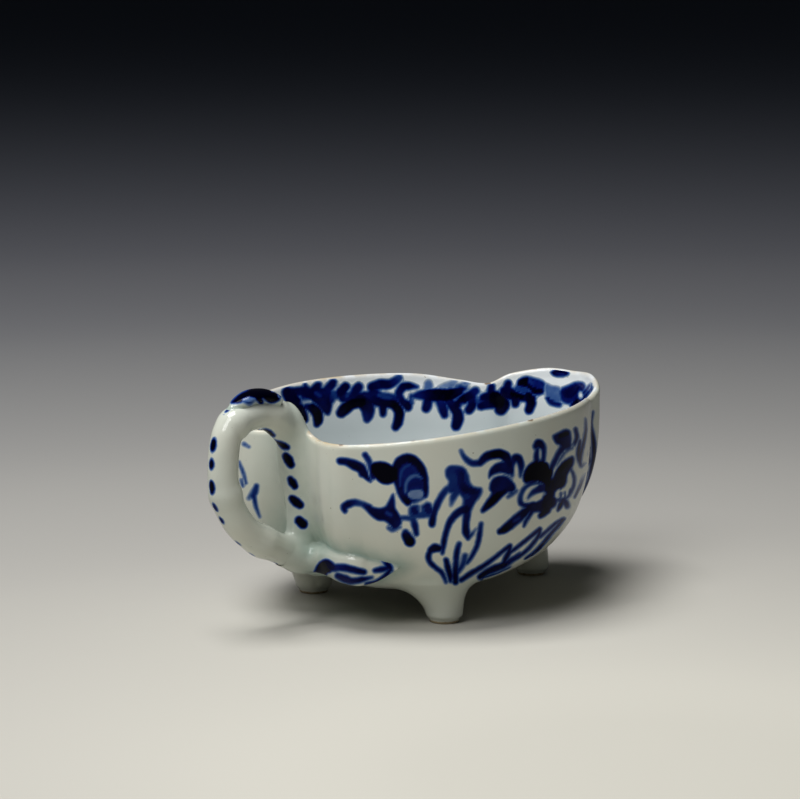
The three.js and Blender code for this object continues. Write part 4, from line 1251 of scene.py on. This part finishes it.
class Painting:
    # what strokes leave on a set of pixels: how far inside their edge each lies, and its tone
    def __init__(self, pixels):
        self.pixels = pixels
        self.inside = np.full(len(pixels), -farAway)
        self.covering = np.zeros(len(pixels))
        self.closest = np.zeros(len(pixels))

    def brush(self, strokes, lifting=False):
        for tones, widths, knots in strokes.values():
            reach = brushReach + (0 if widths is None else np.max(widths) / 2)
            low = np.min(knots, axis=0) - reach
            high = np.max(knots, axis=0) + reach
            near = np.all((self.pixels > low) & (self.pixels < high), axis=1)
            if near.any():
                self.lay(near, *brushStroke(self.pixels[near], tones, widths, knots), lifting)
        return self

    def lay(self, near, inside, tone, lifting):
        cover = rampUp(inside, -softEdge, softEdge)
        cover = cover * cover * (3 - 2 * cover)
        if lifting:
            self.covering[near] = between(self.covering[near], tone, cover)
            self.closest[near] = between(self.closest[near], tone, cover)
            return
        self.covering[near] = np.maximum(self.covering[near], tone * cover)
        self.closest[near] = np.where(inside > self.inside[near], tone, self.closest[near])
        self.inside[near] = np.maximum(self.inside[near], inside)

    def copyTo(self, fields, part):
        deeper = self.inside > fields["ink"][part]
        tone = np.maximum(self.covering, self.closest)
        fields["tone"][part] = np.where(deeper, tone, fields["tone"][part])
        fields["ink"][part] = np.maximum(self.inside, fields["ink"][part])


def mirrored(points):
    return points * (1, -1, 1)


def emptyFields(count):
    fields = {name: np.full(count, -farAway) for name in ("ink", "nick")}
    fields.update({name: np.zeros(count) for name in ("tone", "glazeAndShade", "wear", "bare", "within")})
    return fields


# Glaze gathers green in a crease, its colour also darkened there as painted crease shade: how strongly, and
# how far from it in mm
creaseGlazeAndShade = {
    "handle": (1.0, 3.8),
    "thumb_scroll": (0.8, 0.9),
    "leaf_terminal": (0.95, 3.0),
    "foot": (0.35, 1.8),
}
# The glaze drained down the stem: less of it is pooled, and less crease shade painted, above these heights in
# mm, and more widely below. The pool and its painted shade are narrower on the leaf itself than beside it,
# and hardly show within the bowl. They also run on from a neighbour.
gatheredGlazeAndShade = {
    "heights": (15.0, 24.0),
    "drained": 0.6,
    "widened": 1.8,
    "onLeaf": 0.2,
    "within": 0.15,
}
glazeAndShadeNeighbours = {
    "leaf_terminal": "handle",
    "rear_foot_near": "leaf_terminal",
    "handle": "thumb_scroll",
}
lutedDistances = {
    "handle": handleDistance,
    "thumb_scroll": scrollDistance,
    "leaf_terminal": leafDistance,
    **footDistances,
}


# greener glaze gathered in a crease, with painted crease shade in the same colour
def creaseGlazeAndShadeAt(name, points, own, carrier):
    strength, width = creaseGlazeAndShade["foot" if "foot" in name else name]
    if name == "handle":
        rise = rampUp(points[:, 2], *gatheredGlazeAndShade["heights"])
        strength = strength * (1 - gatheredGlazeAndShade["drained"] * rise)
        width = width * between(gatheredGlazeAndShade["widened"], 1, rise)
    thinned = gatheredGlazeAndShade["onLeaf"] if name == "leaf_terminal" else 1
    ownShare = np.maximum(own, 0) / width
    carrierShare = np.maximum(carrier, 0) / (width * thinned)
    return strength * np.exp(-ownShare ** 2 - carrierShare ** 2)


def edgeFade(points, normals):
    # pixels of ink lost where the wall turns edge on to the camera, on either side
    onNearSide = points[:, 1:2] < 0
    placed = np.where(onNearSide, points, mirrored(points))
    turned = np.where(onNearSide, normals, mirrored(normals))
    cosine = np.sum(turned * unit(cameraPlace - placed), 1)
    edgeOn, faced = painted["fadeCosines"]
    return painted["lostAtEdge"] * rampUp(cosine, faced, edgeOn)


def leftOf(strokes):
    # the strokes that end before the hidden side of the lip begins
    return {
        name: stroke for name, stroke in strokes.items()
        if max(across for across, down in stroke[2]) < painted["hiddenFrom"]
    }


def borderPixels(pixels):
    # pixels of the same place on the far wall, run back where that wall turns out of view
    ringCount = len(turns)
    across = np.minimum(np.searchsorted(turns, 1 - turns), ringCount - 1)
    columns = np.where(turns < 0.5, across, np.arange(ringCount))
    first, last = np.searchsorted(turns, painted["borderFold"])
    folded = last - np.abs((columns - first) % (2 * (last - first)) - (last - first))
    columns = np.where(columns > last, folded, columns)
    grid = pixels[1:-1].reshape(len(allRows), ringCount, 2)
    return np.concatenate([pixels[:1], grid[:, columns].reshape(-1, 2), pixels[-1:]])


def paintBowl():
    fields = emptyFields(len(bowlPoints))
    ringCount = len(turns)
    turnOf = np.concatenate([[0], np.tile(turns, len(allRows)), [0]])
    row = np.concatenate([[-1], np.repeat(np.arange(len(allRows)), ringCount), [len(allRows)]])
    rimStart = len(outerRows)
    rimEnd = rimStart + bowlWeave["rimRows"]
    outer = row < rimStart + rimOverlap
    inner = row >= rimEnd - rimOverlap
    y = bowlPoints[:, 1]
    other = mirrored(bowlPoints)
    seen = facesCamera(bowlPoints, bowlNormals)
    otherSeen = facesCamera(other, mirrored(bowlNormals))
    pixels = toPixels(bowlPoints)

    # outside: the near side as photographed, and the far side as its mirror image
    for part, where in ((outer & seen & (y < 0), pixels), (outer & otherSeen & (y >= 0), toPixels(other))):
        painting = Painting(where[part]).brush(nearInk).brush(nearLift, True).brush(nearTop)
        painting.copyTo(fields, part)
        fields["ink"][part] -= edgeFade(bowlPoints[part], bowlNormals[part])
    lobe = outer & seen & (turnOf > painted["farLobeFrom"])
    Painting(pixels[lobe]).brush(farLobeInk).copyTo(fields, lobe)
    around = facesCamera(bowlPoints, bowlNormals, painted["roundTheEdge"])
    cleftStart, cleftEnd = painted["cleft"]
    cleft = outer & around & (y < painted["cleftDotsEndAt"]) & ((turnOf > cleftStart) | (turnOf < cleftEnd))
    Painting(pixels[cleft]).brush(handleInk).copyTo(fields, cleft)

    # inside: the far wall's border as photographed, and its mirror image where it can't be seen
    inView = inner & seen & (turnOf > painted["borderFrom"]) & (turnOf < painted["borderFold"][1])
    hidden = inner & ~inView
    painting = Painting(pixels[inView]).brush(borderInk).brush(borderLift, True).brush(borderTop)
    painting.copyTo(fields, inView)
    unseenPixels = borderPixels(pixels)
    painting = Painting(unseenPixels[hidden]).brush(leftOf(borderInk)).brush(leftOf(borderLift), True)
    painting.copyTo(fields, hidden)

    # the rim, its rubbed glaze, the inside's painted highlight and painted shade, and the pools of glaze with
    # painted crease shade beside what is luted on
    nearRim = (row >= rimStart - rimOverlap) & (row < rimEnd + rimOverlap)
    onRim = nearRim & (seen | (row >= rimStart))
    fields["nick"][onRim] = Painting(pixels[onRim]).brush(rimNicks).inside
    # inside the bowl: a painted highlight near the rim that gives way to painted shade lower down
    highlightTop = stations[:, 2].max() - worn["highlightBelow"]
    belowRim = rampUp(bowlPoints[:, 2], highlightTop, highlightTop - worn["highlightDepth"])
    onward = row >= rimStart + bowlWeave["rimRows"] // 2
    fields["within"] = np.where(onward, 1 - worn["highlightLoss"] * belowRim, 0)
    rimMiddle = (rimStart + rimEnd - 1) / 2
    fromMiddle = np.abs(row - rimMiddle) / (bowlWeave["rimRows"] * worn["rubbedRows"])
    fields["wear"] = np.clip(worn["rubbedMost"] - fromMiddle, 0, 1)
    rubbed = np.exp(-((pixels[:, 0] - worn["rubbedPixel"]) / worn["rubbedSpread"]) ** 2)
    fields["wear"] *= worn["rubbedAnywhere"] + worn["rubbedThere"] * rubbed
    onWall = np.zeros(len(bowlPoints))
    for name, distance in lutedDistances.items():
        glazeAndShade = creaseGlazeAndShadeAt(name, bowlPoints, distance(bowlPoints), onWall)
        fields["glazeAndShade"] = np.maximum(fields["glazeAndShade"], glazeAndShade)
    fields["glazeAndShade"][row >= rimStart] *= gatheredGlazeAndShade["within"]
    return fields


def paintDashes(points, fields):
    # ovals along the line of the stalk that lies furthest from the bowl
    along = np.gradient(stalkCentres, axis=0)
    arc = np.concatenate([[0], np.cumsum(np.linalg.norm(np.diff(stalkCentres, axis=0), axis=1))])
    back = unit(np.cross(along, (0, 1, 0)))
    back *= np.sign(back[:, 2:] * backRise - back[:, :1] + tiny)
    spinePixels = toPixels(stalkCentres + back * stalkRadii[:, None])
    apart = np.linalg.norm(points[:, None, :] - stalkCentres[None, ::stride, :], axis=2)
    nearest = np.argmin(apart, axis=1) * stride
    away = points - stalkCentres[nearest]
    lengthwise = arc[nearest] + np.sum(away * unit(along)[nearest], 1)
    outside = np.sum(away * back[nearest], 1) > 0
    for tone, pixel, length, width in backDashes.values():
        place = np.argmin(np.linalg.norm(spinePixels - pixel, axis=1))
        ahead = (lengthwise - arc[place]) / (length / 2)
        across = points[:, 1] / (width / 2)
        reach = np.maximum(np.hypot(ahead, across), leastReach)
        oval = np.hypot(ahead * length / 2, points[:, 1]) * (1 / reach - 1) * pixelsPerMm
        taken = outside & (oval > fields["ink"])
        fields["ink"] = np.where(taken, oval, fields["ink"])
        fields["tone"] = np.where(taken, tone, fields["tone"])


def paintLuted(name, skin, carrier):
    points, faces, normals = skin
    fields = emptyFields(len(points))
    # greener glaze and painted crease shade in the crease round the piece
    fields["glazeAndShade"] = creaseGlazeAndShadeAt(name, points, lutedDistances[name](points), carrier(points))
    if name in glazeAndShadeNeighbours:
        beside = glazeAndShadeNeighbours[name]
        glazeAndShade = creaseGlazeAndShadeAt(beside, points, lutedDistances[beside](points), wallDistance(points))
        fields["glazeAndShade"] = np.maximum(fields["glazeAndShade"], glazeAndShade)
    other = mirrored(points)
    seen = facesCamera(points, normals)
    otherSide = ~seen & facesCamera(other, mirrored(normals))
    pixels = toPixels(points)
    otherPixels = toPixels(other)
    if name == "handle":
        around = facesCamera(points, normals, painted["roundTheEdge"]) & (points[:, 1] < painted["dotsEndAt"])
        Painting(pixels[around]).brush(handleInk).copyTo(fields, around)
        paintDashes(points, fields)
    if name == "leaf_terminal":
        Painting(pixels[seen]).brush(leafInk).copyTo(fields, seen)
    if name == "thumb_scroll":
        where = np.where(seen[:, None], pixels, otherPixels)
        Painting(where).brush(scrollInk).brush(scrollLift, True).copyTo(fields, slice(None))
    if "foot" in name:
        if name != "rear_foot_far":
            Painting(pixels[seen]).brush(nearInk).copyTo(fields, seen)
        if name != "rear_foot_near":
            Painting(otherPixels[otherSide]).brush(nearInk).copyTo(fields, otherSide)
        if name == "front_foot":
            low, high = painted["frontFootFade"]
            fields["ink"] -= painted["lostAtEdge"] * rampUp(points[:, 2], high, low)
        fields["bare"] = rampUp(points[:, 2], *feet["bareHeights"])
    return fields


# Glaze and paint. A pair or triple is where a change begins and ends and, when it has a third
# value, how far it goes. Patterns are a scale with a number of layers of detail.
glaze = {
    "body": (0.715, 0.75, 0.665, 1),
    "warmer": (0.735, 0.745, 0.645, 1),
    "cloudy": (0.35, 0.7),
    # inside the bowl: painted shade lower down, painted highlight near the rim
    "innerPaintedShade": (0.64, 0.69, 0.69, 1),
    "innerPaintedHighlight": (0.87, 0.9, 0.91, 1),
    "paintedLightRange": (0.35, 1.0),
    "inward": (0.0, 0.3),
    # glaze gathered green in creases, darkened as painted crease shade
    "glazeAndShade": (0.29, 0.41, 0.36, 1),
    "glazeShadeMottle": (-0.5, 0.9),
    "speck": (0.22, 0.19, 0.14, 1),
    "specked": (0.775, 0.80, 0.5),
    "worn": (0.62, 0.52, 0.34, 1),
    "rubbed": (0.36, 0.56, 0.9),
    "nick": (0.16, 0.09, 0.04, 1),
    "nicked": (-0.2, 0.15, 0.85),
    "clay": (0.47, 0.37, 0.22, 1),
    "darkClay": (0.3, 0.22, 0.12, 1),
    "clayGrain": (0.4, 0.7),
    "bareGrain": 0.5,
    "bared": (0.55, 0.85),
    "blues": (
        (0.0, (0.42, 0.49, 0.56, 1)),
        (0.1, (0.42, 0.49, 0.56, 1)),
        (0.25, (0.16, 0.25, 0.45, 1)),
        (0.4, (0.045, 0.11, 0.31, 1)),
        (0.55, (0.009, 0.045, 0.22, 1)),
        (0.7, (0.0025, 0.008, 0.125, 1)),
        (0.85, (0.0008, 0.0012, 0.035, 1)),
        (1.0, (0.0004, 0.0004, 0.004, 1)),
    ),
    "noiseMiddle": 0.5,
    "edgeWobble": 0.22,
    "inkMiddle": 0.42,
    "inkMottle": 0.26,
    "flown": (-0.5, 0.42),
    "inked": (0.0, 0.11),
    "sheen": 0.5,
    "inkedSheen": 0.04,
    "dulled": (0.1, 0.6),
    "roughness": 0.13,
    "glossSpread": 0.1,
    "bareRoughness": 0.8,
    "rubbedRoughness": 0.25,
    "refraction": 1.5,
    "peelShare": 0.05,
    "bumpStrength": 0.6,
    "bowlWave": 0.00025,
    "lutedWave": 0.0005,
}
patterns = {
    "edge": (900.0, 2.0),
    "cloud": (60.0, 3.0),
    "mottle": (320.0, 3.0),
    "speck": (1500.0, 1.0),
    "clay": (1200.0, 4.0),
    "gloss": (240.0, 3.0),
    "peel": (1100.0, 2.0),
    "wave": (130.0, 2.0),
}


class NodeSet:
    # a new material or world's nodes, with short calls for adding and joining them
    def __init__(self, owner):
        owner.use_nodes = True
        self.tree = owner.node_tree

    def join(self, value, socket):
        if isinstance(value, bpy.types.NodeSocket):
            self.tree.links.new(value, socket)
        else:
            socket.default_value = value

    def add(self, kind, inputs=None, **settings):
        node = self.tree.nodes.new(kind)
        for name, value in settings.items():
            setattr(node, name, value)
        for name, value in (inputs or {}).items():
            self.join(value, node.inputs[name])
        return node

    def objectPlace(self):
        return self.add("ShaderNodeTexCoord").outputs["Object"]

    def noise(self, coordinates, scale, detail):
        return self.add("ShaderNodeTexNoise", {
            "Vector": coordinates, "Scale": scale, "Detail": detail,
        }).outputs["Fac"]

    def smooth(self, value, low, high, top=1.0):
        return self.add("ShaderNodeMapRange", {
            "Value": value, "From Min": low, "From Max": high, "To Min": 0.0, "To Max": top,
        }, interpolation_type="SMOOTHSTEP").outputs["Result"]

    def mix(self, share, first, second):
        # the seventh and eighth inputs and the third output are the colours
        node = self.add("ShaderNodeMix", data_type="RGBA")
        for socket, value in ((0, share), (6, first), (7, second)):
            self.join(value, node.inputs[socket])
        return node.outputs[2]

    def ramp(self, value, stops, interpolation="LINEAR"):
        node = self.add("ShaderNodeValToRGB", {"Fac": value})
        node.color_ramp.interpolation = interpolation
        while len(node.color_ramp.elements) < len(stops):
            node.color_ramp.elements.new(0.5)
        for element, (position, colour) in zip(node.color_ramp.elements, stops):
            element.position = position
            element.color = colour
        return node.outputs["Color"]

    def sums(self, operation, *values):
        node = self.add("ShaderNodeMath", operation=operation)
        for socket, value in zip(node.inputs, values):
            self.join(value, socket)
        return node.outputs[0]


def makeGlaze(name, wave):
    g = glaze
    material = bpy.data.materials.new(name)
    nodes = NodeSet(material)
    shader = material.node_tree.nodes["Principled BSDF"]
    place = nodes.objectPlace()
    fields = {
        field: nodes.add("ShaderNodeAttribute", attribute_name=field).outputs["Fac"]
        for field in ("ink", "tone", "glazeAndShade", "wear", "bare", "nick", "within")
    }
    noise = {pattern: nodes.noise(place, *fineness) for pattern, fineness in patterns.items()}

    # the glaze itself: cloudy; inside, paler near the rim as a painted highlight and darker lower down as
    # painted shade; greener where it lies thick, darker there as painted crease shade
    colour = nodes.mix(nodes.smooth(noise["cloud"], *g["cloudy"]), g["body"], g["warmer"])
    inner = nodes.mix(nodes.smooth(fields["within"], *g["paintedLightRange"]), g["innerPaintedShade"], g["innerPaintedHighlight"])
    colour = nodes.mix(nodes.smooth(fields["within"], *g["inward"]), colour, inner)
    # thick glaze in creases, with painted crease shade in the same colour
    thick = nodes.sums("MULTIPLY", fields["glazeAndShade"], nodes.smooth(noise["mottle"], *g["glazeShadeMottle"]))
    colour = nodes.mix(thick, colour, g["glazeAndShade"])
    colour = nodes.mix(nodes.smooth(noise["speck"], *g["specked"]), colour, g["speck"])

    # worn rim and small nicks in it
    rub = nodes.sums("MULTIPLY", fields["wear"], nodes.smooth(noise["mottle"], *g["rubbed"]))
    colour = nodes.mix(rub, colour, g["worn"])
    colour = nodes.mix(nodes.smooth(fields["nick"], *g["nicked"]), colour, g["nick"])

    # underglaze blue: pale where it has flown out at an edge, nearly black where it is thick
    wobble = nodes.sums("SUBTRACT", noise["edge"], g["noiseMiddle"])
    ink = nodes.sums("MULTIPLY_ADD", wobble, g["edgeWobble"], fields["ink"])
    unevenness = nodes.sums("SUBTRACT", noise["mottle"], g["inkMiddle"])
    clouded = nodes.sums("MULTIPLY_ADD", unevenness, g["inkMottle"], fields["tone"])
    strength = nodes.sums("MULTIPLY", clouded, nodes.smooth(ink, *g["flown"]))
    colour = nodes.mix(nodes.smooth(strength, *g["inked"]), colour, nodes.ramp(strength, g["blues"]))
    dulled = nodes.smooth(strength, *g["dulled"], g["inkedSheen"] - g["sheen"])
    nodes.join(nodes.sums("ADD", dulled, g["sheen"]), shader.inputs["Specular IOR Level"])

    # bare clay under the feet
    grainy = nodes.sums("MULTIPLY_ADD", noise["clay"], g["bareGrain"], fields["bare"])
    bare = nodes.smooth(grainy, *g["bared"])
    clay = nodes.mix(nodes.smooth(noise["clay"], *g["clayGrain"]), g["clay"], g["darkClay"])
    nodes.join(nodes.mix(bare, colour, clay), shader.inputs["Base Color"])

    smoothest = g["roughness"] - g["glossSpread"] / 2
    gloss = nodes.sums("MULTIPLY_ADD", noise["gloss"], g["glossSpread"], smoothest)
    rough = nodes.sums("MAXIMUM", gloss, nodes.sums("MULTIPLY", bare, g["bareRoughness"]))
    rough = nodes.sums("MULTIPLY_ADD", rub, g["rubbedRoughness"], rough)
    nodes.join(rough, shader.inputs["Roughness"])
    nodes.join(g["refraction"], shader.inputs["IOR"])

    # the glaze's surface: a slow wave and a fine orange peel
    waves = nodes.sums("MULTIPLY_ADD", noise["peel"], g["peelShare"], noise["wave"])
    bump = nodes.add("ShaderNodeBump", {
        "Height": waves, "Strength": g["bumpStrength"], "Distance": wave,
    })
    nodes.join(bump.outputs["Normal"], shader.inputs["Normal"])
    return material


# ink and nick are in pixels and are written in mm, and every field stays within this limit
fieldLimit = 3


def makePiece(name, points, faces, normals, fields, nodeName):
    mesh = bpy.data.meshes.new(name)
    mesh.from_pydata((points * metresPerMm).tolist(), [], faces)
    mesh.shade_smooth()
    for fieldName, values in fields.items():
        scale = 1 / pixelsPerMm if fieldName in ("ink", "nick") else 1.0
        layer = mesh.attributes.new(fieldName, "FLOAT", "POINT")
        limited = np.clip(values * scale, -fieldLimit, fieldLimit)
        layer.data.foreach_set("value", limited.astype(np.float32))
    if normals is not None:
        mesh.normals_split_custom_set_from_vertices(normals.tolist())
    piece = addObject(name, mesh)
    wave = glaze["bowlWave"] if nodeName == "bowl" else glaze["lutedWave"]
    mesh.materials.append(makeGlaze(name + "_glaze", wave))
    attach(piece, "root")
    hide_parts(nodeName)


makePiece("glazed_bowl", bowlPoints, bowlFaces, None, paintBowl(), "bowl")
print("bowl painted")
luted = {
    "handle": ("stalk_handle", handleSkin, wallDistance, "glazed_porcelain_handle"),
    "thumb_scroll": ("painted_thumb_scroll", scrollSkin, bodyDistance, "cobalt_painted_scroll"),
    "leaf_terminal": ("luted_leaf", leafSkin, wallDistance, "glazed_porcelain_leaf"),
}
for footName, footSkin in footSkins.items():
    luted[footName] = ("peg_" + footName, footSkin, wallDistance, "glazed_porcelain_feet")
for nodeName, (pieceName, skin, carrier, slotName) in luted.items():
    points, faces, normals = skin
    fields = paintLuted(nodeName, skin, carrier)
    makePiece(pieceName, points, faces.tolist(), normals, fields, nodeName)
print("luted pieces painted")

# Floor and light. The floor's colour is a painted pool of light: pale near the boat, falling off to a dark,
# bluish grey far away, as in the photograph. Its tones go by the logarithm of the distance from its palest
# place, in metres.
studio = {
    "floorHalf": 9.0,
    "paintedLightMiddle": (-0.062, -0.118, 0.0),
    "tones": (
        (0.0, (0.66, 0.64, 0.565, 1)),
        (0.17, (0.655, 0.635, 0.565, 1)),
        (0.345, (0.505, 0.49, 0.45, 1)),
        (0.4526, (0.378, 0.37, 0.352, 1)),
        (0.5617, (0.232, 0.232, 0.238, 1)),
        (0.643, (0.16, 0.163, 0.182, 1)),
        (0.82, (0.102, 0.112, 0.142, 1)),
        (1.0, (0.056, 0.067, 0.1, 1)),
    ),
    "bounceShare": 0.77,
    "floorRoughness": 0.9,
    "floorSheen": 0.1,
    "nearDistance": 0.03,
    "farDistance": 5.0,
    "lamps": {
        "window": {"place": (-0.70, -0.18, 0.74), "size": 0.42, "power": 3.4},
        "overhead": {"place": (-0.23, 0.1, 1.02), "size": 0.54, "power": 9.4},
    },
    "world": (0.018, 0.02, 0.022, 1),
    "mirrored": (0.03, 0.033, 0.036, 1),
}


def makeFloor():
    half = studio["floorHalf"]
    corners = [(-half, -half, 0), (half, -half, 0), (half, half, 0), (-half, half, 0)]
    mesh = bpy.data.meshes.new("studio_floor")
    mesh.from_pydata(corners, [], [(0, 1, 2, 3)])
    floor = addObject("studio_floor", mesh)
    material = bpy.data.materials.new("floor_painted_light")
    nodes = NodeSet(material)
    shader = material.node_tree.nodes["Principled BSDF"]
    # the painted pool of light: darker with distance from its middle
    length = nodes.add("ShaderNodeVectorMath", {
        0: nodes.objectPlace(), 1: studio["paintedLightMiddle"],
    }, operation="DISTANCE").outputs["Value"]
    low = math.log(studio["nearDistance"])
    high = math.log(studio["farDistance"])
    scaled = nodes.sums("LOGARITHM", nodes.sums("MAXIMUM", length, studio["nearDistance"]), math.e)
    share = nodes.sums("DIVIDE", nodes.sums("SUBTRACT", scaled, low), high - low)
    tone = nodes.ramp(share, studio["tones"], "CARDINAL")
    # paler to the camera than to the porcelain, so that little light comes back from below
    toCamera = nodes.add("ShaderNodeLightPath").outputs["Is Camera Ray"]
    bounced = nodes.mix(1 - studio["bounceShare"], tone, (0, 0, 0, 1))
    nodes.join(nodes.mix(toCamera, bounced, tone), shader.inputs["Base Color"])
    nodes.join(studio["floorRoughness"], shader.inputs["Roughness"])
    nodes.join(studio["floorSheen"], shader.inputs["Specular IOR Level"])
    mesh.materials.append(material)


def makeLamp(name, place, size, power):
    # a square lamp that looks at the middle of the floor
    data = bpy.data.lights.new(name, "AREA")
    data.shape = "SQUARE"
    data.size = size
    data.energy = power
    lamp = addObject(name, data)
    turned = Vector(place).to_track_quat("Z", "Y").to_matrix().to_4x4()
    lamp.matrix_world = Matrix.Translation(place) @ turned


makeFloor()
for lampName, lamp in studio["lamps"].items():
    makeLamp(lampName, lamp["place"], lamp["size"], lamp["power"])
world = bpy.data.worlds.new("studio_world")
worldNodes = NodeSet(world)
glossyRay = worldNodes.add("ShaderNodeLightPath").outputs["Is Glossy Ray"]
surroundings = worldNodes.mix(glossyRay, studio["world"], studio["mirrored"])
worldNodes.join(surroundings, world.node_tree.nodes["Background"].inputs["Color"])
bpy.context.scene.world = world
bpy.context.scene.view_settings.view_transform = "Standard"
print("studio lit")
